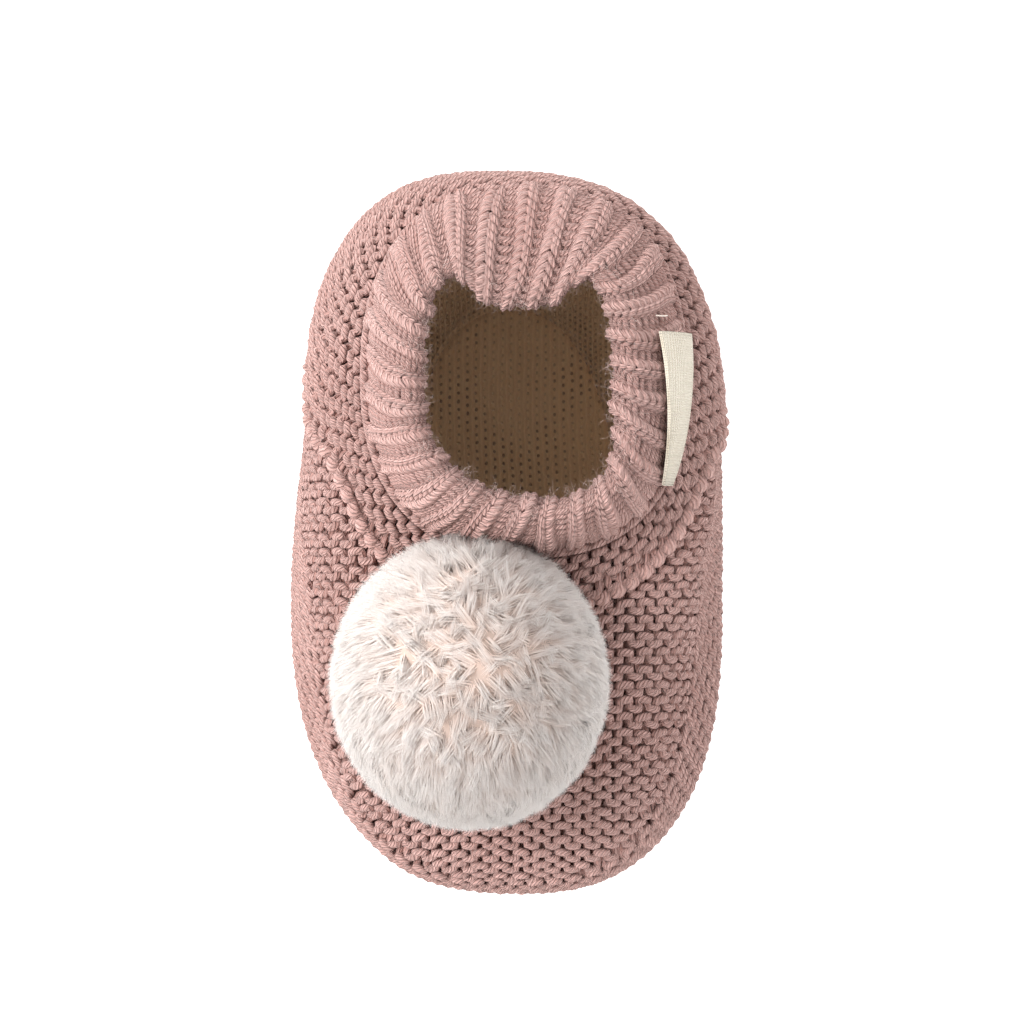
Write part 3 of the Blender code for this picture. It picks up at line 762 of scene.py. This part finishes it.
def pile_paint(name, light, dark):
    """Plush pile that lets some light through: near white at the tips, with painted shade that makes it
    darker and rosier towards the roots and between the tufts.
    """
    paint = Paint(name, Roughness=0.95, Specular_IOR_Level=0.05, Subsurface_Weight=0.4,
                  Subsurface_Radius=(1.0, 0.85, 0.75), Subsurface_Scale=0.0004)
    painted_shade = paint.number("painted_shade")
    cloud = paint.noise(220.0, 2.0) - 0.5
    # Painted shade: the mesh's shade value darkens the fibres towards their roots; the cloud is the
    # fleece's own uneven tone.
    share = (painted_shade * 1.1 + cloud * 0.6 + 0.05).over(0.0, 1.0)
    paint.feed("Base Color", paint.blend(share, light, dark))
    return paint.material


def tape_paint(name, light, dark):
    """Woven cotton tape with a fine twill."""
    paint = Paint(name, Roughness=0.8, Sheen_Weight=0.2, Specular_IOR_Level=0.25)
    across, along = paint.flat("tape")
    twill = ((along * 44.0 + across * 3.0) * FULL_TURN).sine()
    warp = (across * (60.0 * FULL_TURN)).sine()
    cloud = paint.noise(180.0, 3.0)
    share = (cloud * 0.6 + twill * 0.18 + warp * 0.08).over(0.0, 0.9)
    paint.feed("Base Color", paint.blend(share, light, dark))
    paint.bump(twill * 0.5 + warp * 0.3 + cloud * 0.4, 0.0002)
    return paint.material


# ---- Pieces ----

def ring_verts_in_order(verts, before=None):
    """Put a ring's vertices in the order of the ring that it grew from, or by their turn."""
    if before is None:
        return sorted(verts, key=lambda vert: math.atan2(vert.co.y, vert.co.x))
    ordered = []
    for old in before:
        ordered.append(next(other for other in (edge.other_vert(old) for edge in old.link_edges)
                            if other in verts))
    return ordered


def ring_shell(name, rings, material, ends="bridge"):
    """A circle extruded ring by ring to its places; its two ends are bridged or filled."""
    bm = bmesh.new()
    made = bmesh.ops.create_circle(bm, segments=len(rings[0]), radius=1.0)
    first_edges = list(bm.edges)
    edges = first_edges
    ring = ring_verts_in_order(made["verts"])
    for number, points in enumerate(rings):
        if number:
            grown = bmesh.ops.extrude_edge_only(bm, edges=edges)["geom"]
            new_verts = {part for part in grown if isinstance(part, bmesh.types.BMVert)}
            edges = [part for part in grown if isinstance(part, bmesh.types.BMEdge)
                     and part.verts[0] in new_verts and part.verts[1] in new_verts]
            ring = ring_verts_in_order(new_verts, ring)
        for vert, point in zip(ring, points):
            vert.co = Vector(point) * MM
    if ends == "bridge":
        bmesh.ops.bridge_loops(bm, edges=first_edges + edges)
    else:
        bmesh.ops.contextual_create(bm, geom=first_edges)
        bmesh.ops.contextual_create(bm, geom=edges)
    bmesh.ops.recalc_face_normals(bm, faces=bm.faces)
    return settle(bm, name, material)


def declare(piece, slot, *nodes):
    """Hang a piece under the root body and hide the solids that it stands for; slot, what the piece is made
    of, is not used.
    """
    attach(piece, "root")
    if nodes:
        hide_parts(*nodes)


def add_garter(yarn, chance):
    """The foot's garter knit in its three fields."""
    yarns = Yarns(5)
    sole_edge = side_field(SOLE_EDGE, SOLE_SEAM, SOLE_COURSES)
    for course in range(SOLE_COURSES):
        knit_course(yarns, sole_edge, course, 0, SIDE_WALES, True, chance, course % 2 == 0, per=10)
    declare(yarns.piece("sole_edge_knit", yarn), "sole_knit")
    side = side_field(SOLE_SEAM, VAMP_RIDGE, SIDE_COURSES)
    yarns = Yarns(5)
    for course in range(SIDE_COURSES + 1):
        knit_course(yarns, side, course, 0, SIDE_WALES, True, chance, course % 2 == 0, per=10)
    declare(yarns.piece("garter_side_band", yarn), "garter_knit", "upper")

    ankle, ankle_angle, ankle_section = ankle_field()
    yarns = Yarns(6)
    samples = np.arange(ANKLE_WALES) * 4 + 2
    for course in range(ANKLE_COURSES + 1):
        edge = band_edge(ankle_angle[samples])[0]
        keep = ankle_section[course + 1][samples] > edge - 0.10
        knit = (course + SIDE_COURSES) % 2 == 0
        if keep.all():
            stretches = [(0, ANKLE_WALES, True)]
        else:
            # Start at a gap, so that a run never breaks over the end of the round.
            gap = int(np.nonzero(~keep)[0][0])
            stretches = [(gap + a, gap + b, False) for a, b in runs_of(np.roll(keep, -gap))]
        for first, last, closed in stretches:
            knit_course(yarns, ankle, course, first, last, closed, chance, knit)
    add_edge_chain(yarns, chance)
    declare(yarns.piece("garter_ankle_band", yarn), "garter_knit", "upper")

    vamp, limits, sections, angles = vamp_field()
    yarns = Yarns(6)
    centres = np.arange(-VAMP_HALF_WALES, VAMP_HALF_WALES)
    for course in range(len(limits) - 3):
        columns = ((centres + 0.5 + VAMP_HALF_WALES) / vamp.wale_step).astype(int)
        edge = band_edge(angles[course][columns])[0]
        keep = (centres > limits[course][0] - 0.3) & (centres + 1 < limits[course][1] + 0.3)
        keep &= sections[course][columns] < edge + 0.25
        for a, b in runs_of(keep):
            knit_course(yarns, vamp, course, centres[a], centres[b - 1] + 1, False, chance,
                        course % 2 == 0)
    declare(yarns.piece("garter_vamp", yarn), "garter_knit", "upper")


def add_edge_chain(yarns, chance):
    """The knotty yarn that closes the ankle band's front edge."""
    fine = np.linspace(math.radians(-203.0), math.radians(23.0), 900)
    section, share = band_edge(fine)
    line = body_point(fine, section)
    run = np.concatenate([[0.0], np.cumsum(np.linalg.norm(np.diff(line, axis=0), axis=1))])
    where = np.arange(0.0, run[-1], 0.40)
    angle = np.interp(where, run, fine)
    section, share = band_edge(angle)
    normals = body_normal(angle, section)
    knot = np.cos(where * FULL_TURN / 2.47)
    loose = np.interp(where, np.arange(0.0, run[-1] + 2.4, 2.4),
                      chance.uniform(-0.12, 0.12, len(np.arange(0.0, run[-1] + 2.4, 2.4))))
    height = BAND_STEP * share - 0.62 + 0.20 * knot + loose
    points = body_point(angle, section - 0.06 - 0.02 * knot) + height[:, None] * normals
    # Painted shade: the chain is painted darker where it dips between its knots.
    yarns.add(points, normals, 0.92 + 0.11 * knot, 0.12 - 0.12 * knot, False, where / 4.2)


def add_cuff(rib_yarn, shade_backing, chance):
    """The rib, course by course over the rolled rim, and the cloth behind it."""
    cuff = cuff_field(RIB["courses"])
    yarns = Yarns(RIB["sides"])
    per = RIB["points"]
    wales = RIB["wales"]
    for course in range(-1, RIB["courses"]):
        number = np.repeat(np.arange(wales), per)
        turn = np.tile(np.arange(per) * FULL_TURN / per, wales)
        wobble = [wander(chance, wales, size, True)[number] for size in (0.08, 0.22, 0.10, 0.07)]
        wale = number + turn / FULL_TURN + RIB["sway"] * np.sin(2.0 * turn) + wobble[0] * np.sin(turn)
        up = course + RIB["loop"] * 0.5 * (1.0 - np.cos(turn)) + wobble[1]
        sign = np.clip(1.8 * np.cos(math.pi * (wale - 0.5)), -1.0, 1.0)
        slack = FULL_TURN / wales * wale
        fold = (0.45 * np.sin(9.0 * slack + 0.22 * up) + 0.35 * np.sin(14.0 * slack - 0.31 * up + 2.0)
                + 0.30 * np.sin(23.0 * slack + 0.45 * up + 4.0))
        out = (-sign * RIB["depth"] * np.cos(2.0 * turn) + RIB["wave"] * sign * (1.0 + 0.5 * fold)
               + 0.22 * fold + wobble[2])
        crowded = wale - RIB["crowd"] * np.cos(math.pi * wale) + 0.22 * fold
        points, normals = cuff.at(crowded, up)
        width = np.linalg.norm(cuff.at(wale + 0.5, up)[0] - cuff.at(wale - 0.5, up)[0], axis=1)
        radius = np.clip(0.25 * width, 0.45, 0.62) * (1.0 + wobble[3] - 0.04 * (1.0 - sign))
        # Painted shade: rib yarn that lies further in gets more of the darker colour.
        painted_shade = np.clip(0.4 - 0.55 * out, 0.0, 1.0)
        yarns.add(points + (out - RIB["mid"])[:, None] * normals, normals, radius, painted_shade, True, wale)
    declare(yarns.piece("rib_cuff", rib_yarn), "rib_knit", "cuff")
    # The sheet behind the rib is painted dark for the shade inside the knit.
    rings = []
    half_wales = np.arange(0, wales, 0.5)
    for depth, courses in ((1.3, np.arange(0.0, RIB["courses"] + 3.1, 1.0)),
                           (2.6, np.arange(RIB["courses"] + 3.0, -0.1, -2.0))):
        for course in courses:
            point, normal = cuff.at(half_wales, np.full(len(half_wales), course))
            rings.append(point - depth * normal)
    declare(ring_shell("cuff_backing_painted_shade", rings, shade_backing), "rib_knit", "cuff")
    return cuff


def add_inside(shade_backing, jersey, insole_jersey):
    """The cloth behind the yarns, the lining and the insole."""
    angle = even_angles(BODY[4], 120)
    whole = np.ones(len(angle))
    # The sheet behind the garter yarns is painted dark for the shade inside the knit.
    rows = [body_skin(angle, whole * s, 1.95) for s in np.linspace(1.4, 10.0, 36)]
    rows += [body_skin(angle, whole * s, 2.4) for s in np.linspace(10.0, 1.4, 24)]
    declare(ring_shell("knit_backing_painted_shade", rows, shade_backing), "garter_knit", "upper")

    board = numbers((("insole_edge", -38.5, 34.5, -4.0, 17.0, 0.6, 0.8, 3.3, 3.3, 3.3, 2.3, 2.3),))[0]

    def board_ring(grow, height):
        cells = board.copy()
        cells[0] -= grow
        cells[1] += grow
        cells[3] += grow
        cells[6:9] = height
        return ring_points(cells[None, :], angle)

    wall = body_skin(angle, whole * 3.4, 2.95)
    foot = board_ring(-0.5, 4.3)
    rows = []
    for share in np.linspace(0.0, 1.0, 9)[:-1]:
        ring = foot + (wall - foot) * share
        ring[:, 2] = foot[:, 2] + (wall[:, 2] - foot[:, 2]) * share ** 1.7 + 0.9 * math.sin(math.pi * share)
        rows.append(ring)
    rows += [body_skin(angle, whole * s, 2.95) for s in np.linspace(3.4, 9.9, 26)]
    rows += [body_skin(angle, whole * s, 2.5) for s in np.linspace(9.9, 3.4, 14)]
    rows += [wall + (foot - wall) * share - np.array([0.0, 0.0, 0.35]) for share in (0.4, 1.0)]
    declare(ring_shell("lining", rows, jersey), "lining_jersey", "upper")

    rows = [board_ring(-0.6, 3.35), board_ring(0.0, 3.6), board_ring(0.1, 4.1), board_ring(-0.3, 4.6),
            board_ring(-1.2, 4.85)]
    rows += [board_ring(-grow, 4.85 + 0.25 * math.sin(grow / 16.0 * 1.57))
             for grow in (3, 6, 9, 12, 15, 16.8)]
    declare(ring_shell("insole_sock", rows, insole_jersey, ends="fill"), "lining_jersey", "insole")


LABEL_ROWS = (
    # share_down, x_back, x_middle, x_front, z_back, z_middle, z_front
    (0.00, 21.6, 22.9, 22.2, 55.0, 54.3, 50.9),
    (0.25, 23.5, 24.4, 22.7, 52.5, 52.0, 49.3),
    (0.50, 24.9, 25.4, 23.0, 49.9, 49.6, 47.7),
    (0.75, 25.7, 26.0, 23.3, 47.4, 47.2, 46.1),
    (1.00, 26.4, 26.3, 23.4, 45.1, 44.9, 44.6),
)
LABEL_Y_BACK = 28.9
LABEL_Y_FRONT = 6.8


def bowed(first, middle, last, share):
    """A smooth bow through three values at the shares 0, a half and 1."""
    return (first * (1.0 - share) * (1.0 - 2.0 * share) + middle * 4.0 * share * (1.0 - share)
            + last * share * (2.0 * share - 1.0))


def add_label(tape):
    """One length of tape, folded at its free edge, both ends sewn to the cuff."""
    rows = numbers(LABEL_ROWS)
    along_count, down_count = 16, 36
    bm = bmesh.new()
    layer = bm.loops.layers.uv.new("tape")
    bmesh.ops.create_grid(bm, x_segments=along_count, y_segments=down_count, size=0.5)
    for face in bm.faces:
        for loop in face.loops:
            loop[layer].uv = (loop.vert.co.x + 0.5, loop.vert.co.y + 0.5)
    for vert in bm.verts:
        across = vert.co.x + 0.5
        down = vert.co.y + 0.5
        share = 1.0 - abs(2.0 * down - 1.0)
        cells = table_at(rows[:, 1:], np.array(share * 4.0))
        x = bowed(cells[0], cells[1], cells[2], across)
        z = bowed(cells[3], cells[4], cells[5], across)
        turn = min(max((down - 0.5) / 0.06, -1.0), 1.0)
        outward = 0.42 - 0.27 * math.sin(turn * 0.5 * math.pi) * min(1.0, 0.45 + 4.0 * share)
        ripple = 0.16 * math.sin(5.0 * across + 3.0 * share) * share
        y = LABEL_Y_BACK + (LABEL_Y_FRONT - LABEL_Y_BACK) * across
        vert.co = Vector((x + (outward + ripple) * 0.88, y, z + (outward + ripple) * 0.47)) * MM
    bmesh.ops.recalc_face_normals(bm, faces=bm.faces)
    label = settle(bm, "folded_label", tape)
    solid = label.modifiers.new("tape_thickness", "SOLIDIFY")
    solid.thickness = 0.00022
    solid.offset = 0.0
    declare(label, "label_tape", "label")


LABEL_TACK = ((21.4, 31.2), (22.2, 31.1), (23.1, 31.3))


def add_label_tack(tape, cuff):
    """The pale thread that tacks the back end of the label to the cuff."""
    share = np.linspace(0.0, 1.0, 13)
    ends = np.array(LABEL_TACK)
    x = bowed(ends[0, 0], ends[1, 0], ends[2, 0], share)
    y = bowed(ends[0, 1], ends[1, 1], ends[2, 1], share)
    outside = cuff.points[2:13].reshape(-1, 3)
    outward = cuff.normals[2:13].reshape(-1, 3)
    points, normals = [], []
    for across, along in zip(x, y):
        near = np.argmin((outside[:, 0] - across) ** 2 + (outside[:, 1] - along) ** 2)
        spot, normal = outside[near], outward[near]
        slope = (normal[0] * (across - spot[0]) + normal[1] * (along - spot[1])) / normal[2]
        points.append(np.array((across, along, spot[2] - slope)))
        normals.append(normal)
    points = np.array(points)
    height = 0.55 * np.sin(math.pi * np.clip(share, 0.02, 0.98)) ** 0.5 - 0.1
    points += height[:, None] * unit(np.mean(normals, axis=0))
    yarns = Yarns(6)
    yarns.add(points, np.array(normals), np.full(len(share), 0.12), np.zeros(len(share)))
    declare(yarns.piece("label_tack_thread", tape), "label_tape")


POMPOM_MIDDLE = np.array((-5.4, -21.5, 50.5))
POMPOM_RADII = np.array((19.7, 20.9, 17.0))
POMPOM_CROWN = unit(np.array((0.05, 0.21, 0.97)))
TUFTS = 1700
FIBRES_PER_TUFT = (28, 15)


def even_directions(count):
    """Directions spread over a ball on a spiral, closer together where the ball is seen."""
    number = np.arange(count) + 0.5
    height = np.interp(number / count, (0.0, 0.78, 1.0), (1.0, -0.2, -1.0))
    turn = number * math.pi * (3.0 - math.sqrt(5.0))
    flat = np.sqrt(1.0 - height ** 2)
    return np.stack([flat * np.cos(turn), flat * np.sin(turn), height], axis=-1)


def room_along(directions, trees, clear):
    """Share of the pompom's radius that is free in each direction before the knit is met."""
    share = np.ones(len(directions))
    middle = Vector(POMPOM_MIDDLE) * MM
    for i, direction in enumerate(directions):
        reach = direction * POMPOM_RADII
        length = np.linalg.norm(reach)
        for tree in trees:
            hit = tree.ray_cast(middle, Vector(reach / length), (length + 3.0) * MM)
            if hit[0] is not None:
                share[i] = min(share[i], (hit[3] / MM - clear) / length)
    return share


def add_pompom(pile, shaded_core_pile, chance):
    """A stuffed ball under its fleece, pressed in where it meets the knit, and painted darker for the shade
    between the tufts.
    """
    trees = [solid_tree(node) for node in ("upper", "cuff")]

    bm = bmesh.new()
    bmesh.ops.create_icosphere(bm, subdivisions=5, radius=1.0)
    directions = np.array([vert.co[:] for vert in bm.verts])
    share = np.minimum(room_along(directions, trees, 1.2), 0.90)
    for vert, direction, reach in zip(bm.verts, directions, share):
        vert.co = Vector(POMPOM_MIDDLE + direction * POMPOM_RADII * reach) * MM
    # Painted shade: the core is a darker copy of the pile, seen as the shade between the tufts.
    core = settle(bm, "pompom_core_painted_shade", shaded_core_pile)
    declare(core, "pompom_pile", "pompom")

    tuft = even_directions(TUFTS)
    tuft = unit(tuft + chance.normal(0.0, 0.02, tuft.shape))
    from_crown = np.arccos(np.clip(tuft @ POMPOM_CROWN, -1.0, 1.0))
    away = unit(tuft - (tuft @ POMPOM_CROWN)[:, None] * POMPOM_CROWN)
    downward = np.array((0.15, -1.0, 0.0))
    looseness = np.exp(-(from_crown / 0.8) ** 2)
    comb = unit((1.0 - 0.9 * looseness[:, None]) * (away + 0.6 * downward)
                + chance.normal(0.0, 0.22, tuft.shape)
                + looseness[:, None] * chance.normal(0.0, 0.6, tuft.shape))
    comb = unit(comb - np.sum(comb * tuft, axis=1)[:, None] * tuft)
    lean = 0.06 + 0.07 * np.clip(from_crown, 0.0, 1.3) + 0.10 * looseness
    tip_way = unit(tuft + comb * lean[:, None])
    tuft_length = 1.0 + chance.normal(0.0, 0.006, TUFTS) + looseness * chance.normal(0.02, 0.024, TUFTS)
    free = room_along(tip_way, trees, 0.2)

    for number, per_tuft in enumerate(FIBRES_PER_TUFT):
        add_pile("pompom_pile_%d" % (number + 1), per_tuft, pile, chance, tuft, tip_way, tuft_length,
                 looseness, free)


def add_pile(name, per_tuft, pile, chance, tuft, tip_way, tuft_length, looseness, free):
    """A share of the pompom's fibres, in tufts, each fibre a thin spike."""
    which = np.repeat(np.arange(TUFTS), per_tuft)
    count = len(which)
    spread = chance.normal(0.0, 0.036, (count, 3))
    outer = np.linalg.norm(spread, axis=1) / 0.058
    gather = 0.20 + 0.35 * looseness[which]
    root_way = unit(tuft[which] + spread)
    end_way = unit(tip_way[which] + spread * (1.0 - gather)[:, None]
                   + chance.normal(0.0, 0.012, (count, 3)))
    length = tuft_length[which] - (0.008 + 0.055 * looseness[which]) * np.minimum(outer, 2.0) ** 2
    length = (length + chance.normal(0.008, 0.010, count)) * np.minimum(free[which], 1.0)
    root = POMPOM_MIDDLE + root_way * POMPOM_RADII * (0.885 * np.minimum(length, 1.0))[:, None]
    tip = POMPOM_MIDDLE + end_way * POMPOM_RADII * (1.03 * length)[:, None]
    axis = unit(tip - root)
    side = unit(np.cross(axis, chance.normal(0.0, 1.0, (count, 3))))
    other = np.cross(axis, side)
    thick = chance.uniform(0.08, 0.13, count)[:, None, None]
    turn = np.arange(3) * FULL_TURN / 3.0
    ring = (np.cos(turn)[None, :, None] * side[:, None, :]
            + np.sin(turn)[None, :, None] * other[:, None, :])
    verts = np.concatenate([root[:, None, :] + ring * thick, tip[:, None, :]], axis=1)
    base = (np.arange(count) * 4)[:, None]
    corners = np.concatenate([base + np.array([[a, (a + 1) % 3, 3]]) for a in range(3)]
                             + [base + np.array([[2, 1, 0]])])
    # Painted shade: the fibre roots, and the outer fibres of the loose tufts near the crown, get the darker
    # colour.
    painted_shade = np.tile(np.array([0.60, 0.60, 0.60, 0.0]), (count, 1))
    painted_shade += (looseness[which] * (0.34 * outer ** 2 + 0.10))[:, None]
    fibres = add_piece(name, verts.reshape(-1, 3), [corners], None,
                       np.clip(painted_shade, 0.0, 1.3).ravel(), pile)
    # The pile is shaded as one soft ball, with only a little of each fibre's own roundness.
    ball = unit((verts - POMPOM_MIDDLE) / POMPOM_RADII ** 2)
    own = np.concatenate([ring, axis[:, None, :]], axis=1)
    soft = unit(ball + 0.22 * own).reshape(-1, 3)
    fibres.data.normals_split_custom_set_from_vertices(soft.tolist())
    declare(fibres, "pompom_pile", "pompom")


def solid_tree(node):
    """The faces of a solid of the frame, for finding where a line meets it."""
    mesh = bpy.data.objects[node].data
    return BVHTree.FromPolygons([vert.co for vert in mesh.vertices],
                                [tuple(face.vertices) for face in mesh.polygons])


def add_hairs(name, places, normals, material, slot, chance, count, length, lift):
    """Loose fibre ends that stand off the yarn."""
    yarns = Yarns(3)
    steps = np.linspace(0.0, 1.0, 7)[:, None]
    for i in chance.integers(0, len(places), count):
        start = unit(normals[i] * lift + chance.normal(0.0, 0.6, 3))
        axle = unit(np.cross(start, chance.normal(0.0, 1.0, 3)))
        bend = np.cross(axle, start)
        curl = chance.uniform(0.8, 3.6)
        reach = length * chance.uniform(0.5, 1.4) / curl
        points = (places[i] + reach * (start * np.sin(curl * steps) + bend * (1.0 - np.cos(curl * steps)))
                  + axle * steps * chance.normal(0.0, 0.2))
        radius = 0.020 * (1.0 - 0.3 * steps[:, 0])
        yarns.add(points, np.tile(axle, (7, 1)), radius, np.zeros(7), False)
    declare(yarns.piece(name, material), slot)


def light_and_view():
    """Pale floor, soft studio light from the upper left, and the camera straight above."""
    bm = bmesh.new()
    bmesh.ops.create_grid(bm, x_segments=1, y_segments=1, size=1.2)
    paper = Paint("lit_table", Roughness=0.9, Base_Color=(0.93, 0.93, 0.93, 1.0), Specular_IOR_Level=0.1,
                  Emission_Color=(1.0, 1.0, 1.0, 1.0), Emission_Strength=0.45)
    settle(bm, "studio_floor", paper.material)

    world = bpy.data.worlds.new("soft_room")
    world.use_nodes = True
    world.node_tree.nodes["Background"].inputs["Color"].default_value = (1.0, 1.0, 1.0, 1.0)
    world.node_tree.nodes["Background"].inputs["Strength"].default_value = 1.35
    bpy.context.scene.world = world

    light = bpy.data.lights.new("key_softbox", "AREA")
    light.shape = "DISK"
    light.size = 0.7
    light.energy = 17.0
    lamp = bpy.data.objects.new("key_softbox", light)
    lamp.location = (-0.85, 0.2, 0.9)
    lamp.rotation_euler = (Vector((0.0, 0.0, 0.03)) - lamp.location).to_track_quat("-Z", "Y").to_euler()
    bpy.context.scene.collection.objects.link(lamp)

    camera = bpy.data.cameras.new("camera")
    camera.lens = CAMERA_LENS
    camera.sensor_width = CAMERA_SENSOR
    camera.clip_start = 0.01
    eye = bpy.data.objects.new("camera", camera)
    eye.location = Vector(CAMERA_PLACE) * MM
    bpy.context.scene.collection.objects.link(eye)
    bpy.context.scene.camera = eye
    bpy.context.scene.view_settings.view_transform = "Standard"


def finish_sole():
    """The sole keeps its solid and gets the knit as a finish."""
    sole = bpy.data.objects["sole"]
    paint = Paint("sole_knit", Roughness=0.92, Sheen_Weight=0.3, Specular_IOR_Level=0.2)
    place = paint.place()
    x = paint.axis(place, "X")
    y = paint.axis(place, "Y")
    u = x / 0.0030
    v = y / 0.0021
    lean = ((u.fraction() - 0.5).absolute() * 2.0)
    stitch = ((v + lean * 0.8) * FULL_TURN).sine()
    groove = (u * FULL_TURN * 0.5).sine().absolute()
    speckle = paint.noise(2200.0, 3.0)
    # Painted shade: the low parts of the stitches and the lines between the ribs get the darker colour; the
    # speckle is the yarn's own uneven tone.
    share = (0.35 - stitch * 0.25 - groove * 0.2 + speckle * 0.5).over(0.0, 1.0)
    paint.feed("Base Color", paint.blend(share, (0.54, 0.34, 0.305), (0.31, 0.15, 0.125)))
    paint.bump(stitch * 0.35 + groove * 0.5 + speckle * 0.3, 0.0008)
    sole.material_slots[0].material = paint.material


def main():
    """Knit the slipper, dress it and light it."""
    # The darker colour of each yarn is partly its own uneven tone and partly painted shade in its grooves
    # and where it lies further in.
    yarn = yarn_paint("dusty_pink_yarn", (0.56, 0.35, 0.315), (0.31, 0.145, 0.12))
    rib_yarn = yarn_paint("dusty_pink_rib_yarn", (0.57, 0.365, 0.33), (0.34, 0.165, 0.14), lay=1.2)
    # The sheet behind the yarns is painted dark for the shade inside the knit.
    shade_backing = shade_backing_paint("yarn_backing_painted_shade", (0.30, 0.15, 0.12), (0.20, 0.09, 0.07))
    # The third colour of each jersey is the painted shade seen through its holes.
    jersey = jersey_paint("beige_lining_jersey", (0.76, 0.55, 0.35), (0.60, 0.41, 0.25),
                          (0.25, 0.15, 0.08), 0.0008, 0.0009, 0.16)
    insole_jersey = jersey_paint("beige_insole_jersey", (0.74, 0.53, 0.33), (0.58, 0.40, 0.24),
                                 (0.16, 0.10, 0.06), 0.00138, 0.0013, 0.12)
    # The darker pile colour is the painted shade at the roots and between the tufts.
    pile = pile_paint("fleece_pile", (0.84, 0.76, 0.705), (0.74, 0.56, 0.48))
    # The core paint is a darker copy of the pile's, the painted shade between the tufts.
    shaded_core_pile = pile_paint("fleece_core_painted_shade", (0.56, 0.44, 0.38), (0.48, 0.36, 0.31))
    tape = tape_paint("cream_tape", (0.72, 0.66, 0.55), (0.58, 0.50, 0.38))
    thread = pile_paint("pale_thread", (0.66, 0.56, 0.50), (0.56, 0.46, 0.40))
    stray = pile_paint("stray_fibre", (0.60, 0.42, 0.37), (0.52, 0.34, 0.30))

    chance = np.random.default_rng(11)
    add_garter(yarn, chance)
    cuff = add_cuff(rib_yarn, shade_backing, chance)
    add_inside(shade_backing, jersey, insole_jersey)
    add_label(tape)
    add_label_tack(thread, cuff)
    add_pompom(pile, shaded_core_pile, chance)

    wale = chance.uniform(0, RIB["wales"], 900)
    course = chance.uniform(12, RIB["courses"] - 2, 900)
    places, normals = cuff.at(wale, course)
    add_hairs("cuff_fibres", places - 0.3 * normals, normals, stray, "rib_knit", chance, 800, 2.0, 0.8)
    finish_sole()
    light_and_view()


main()
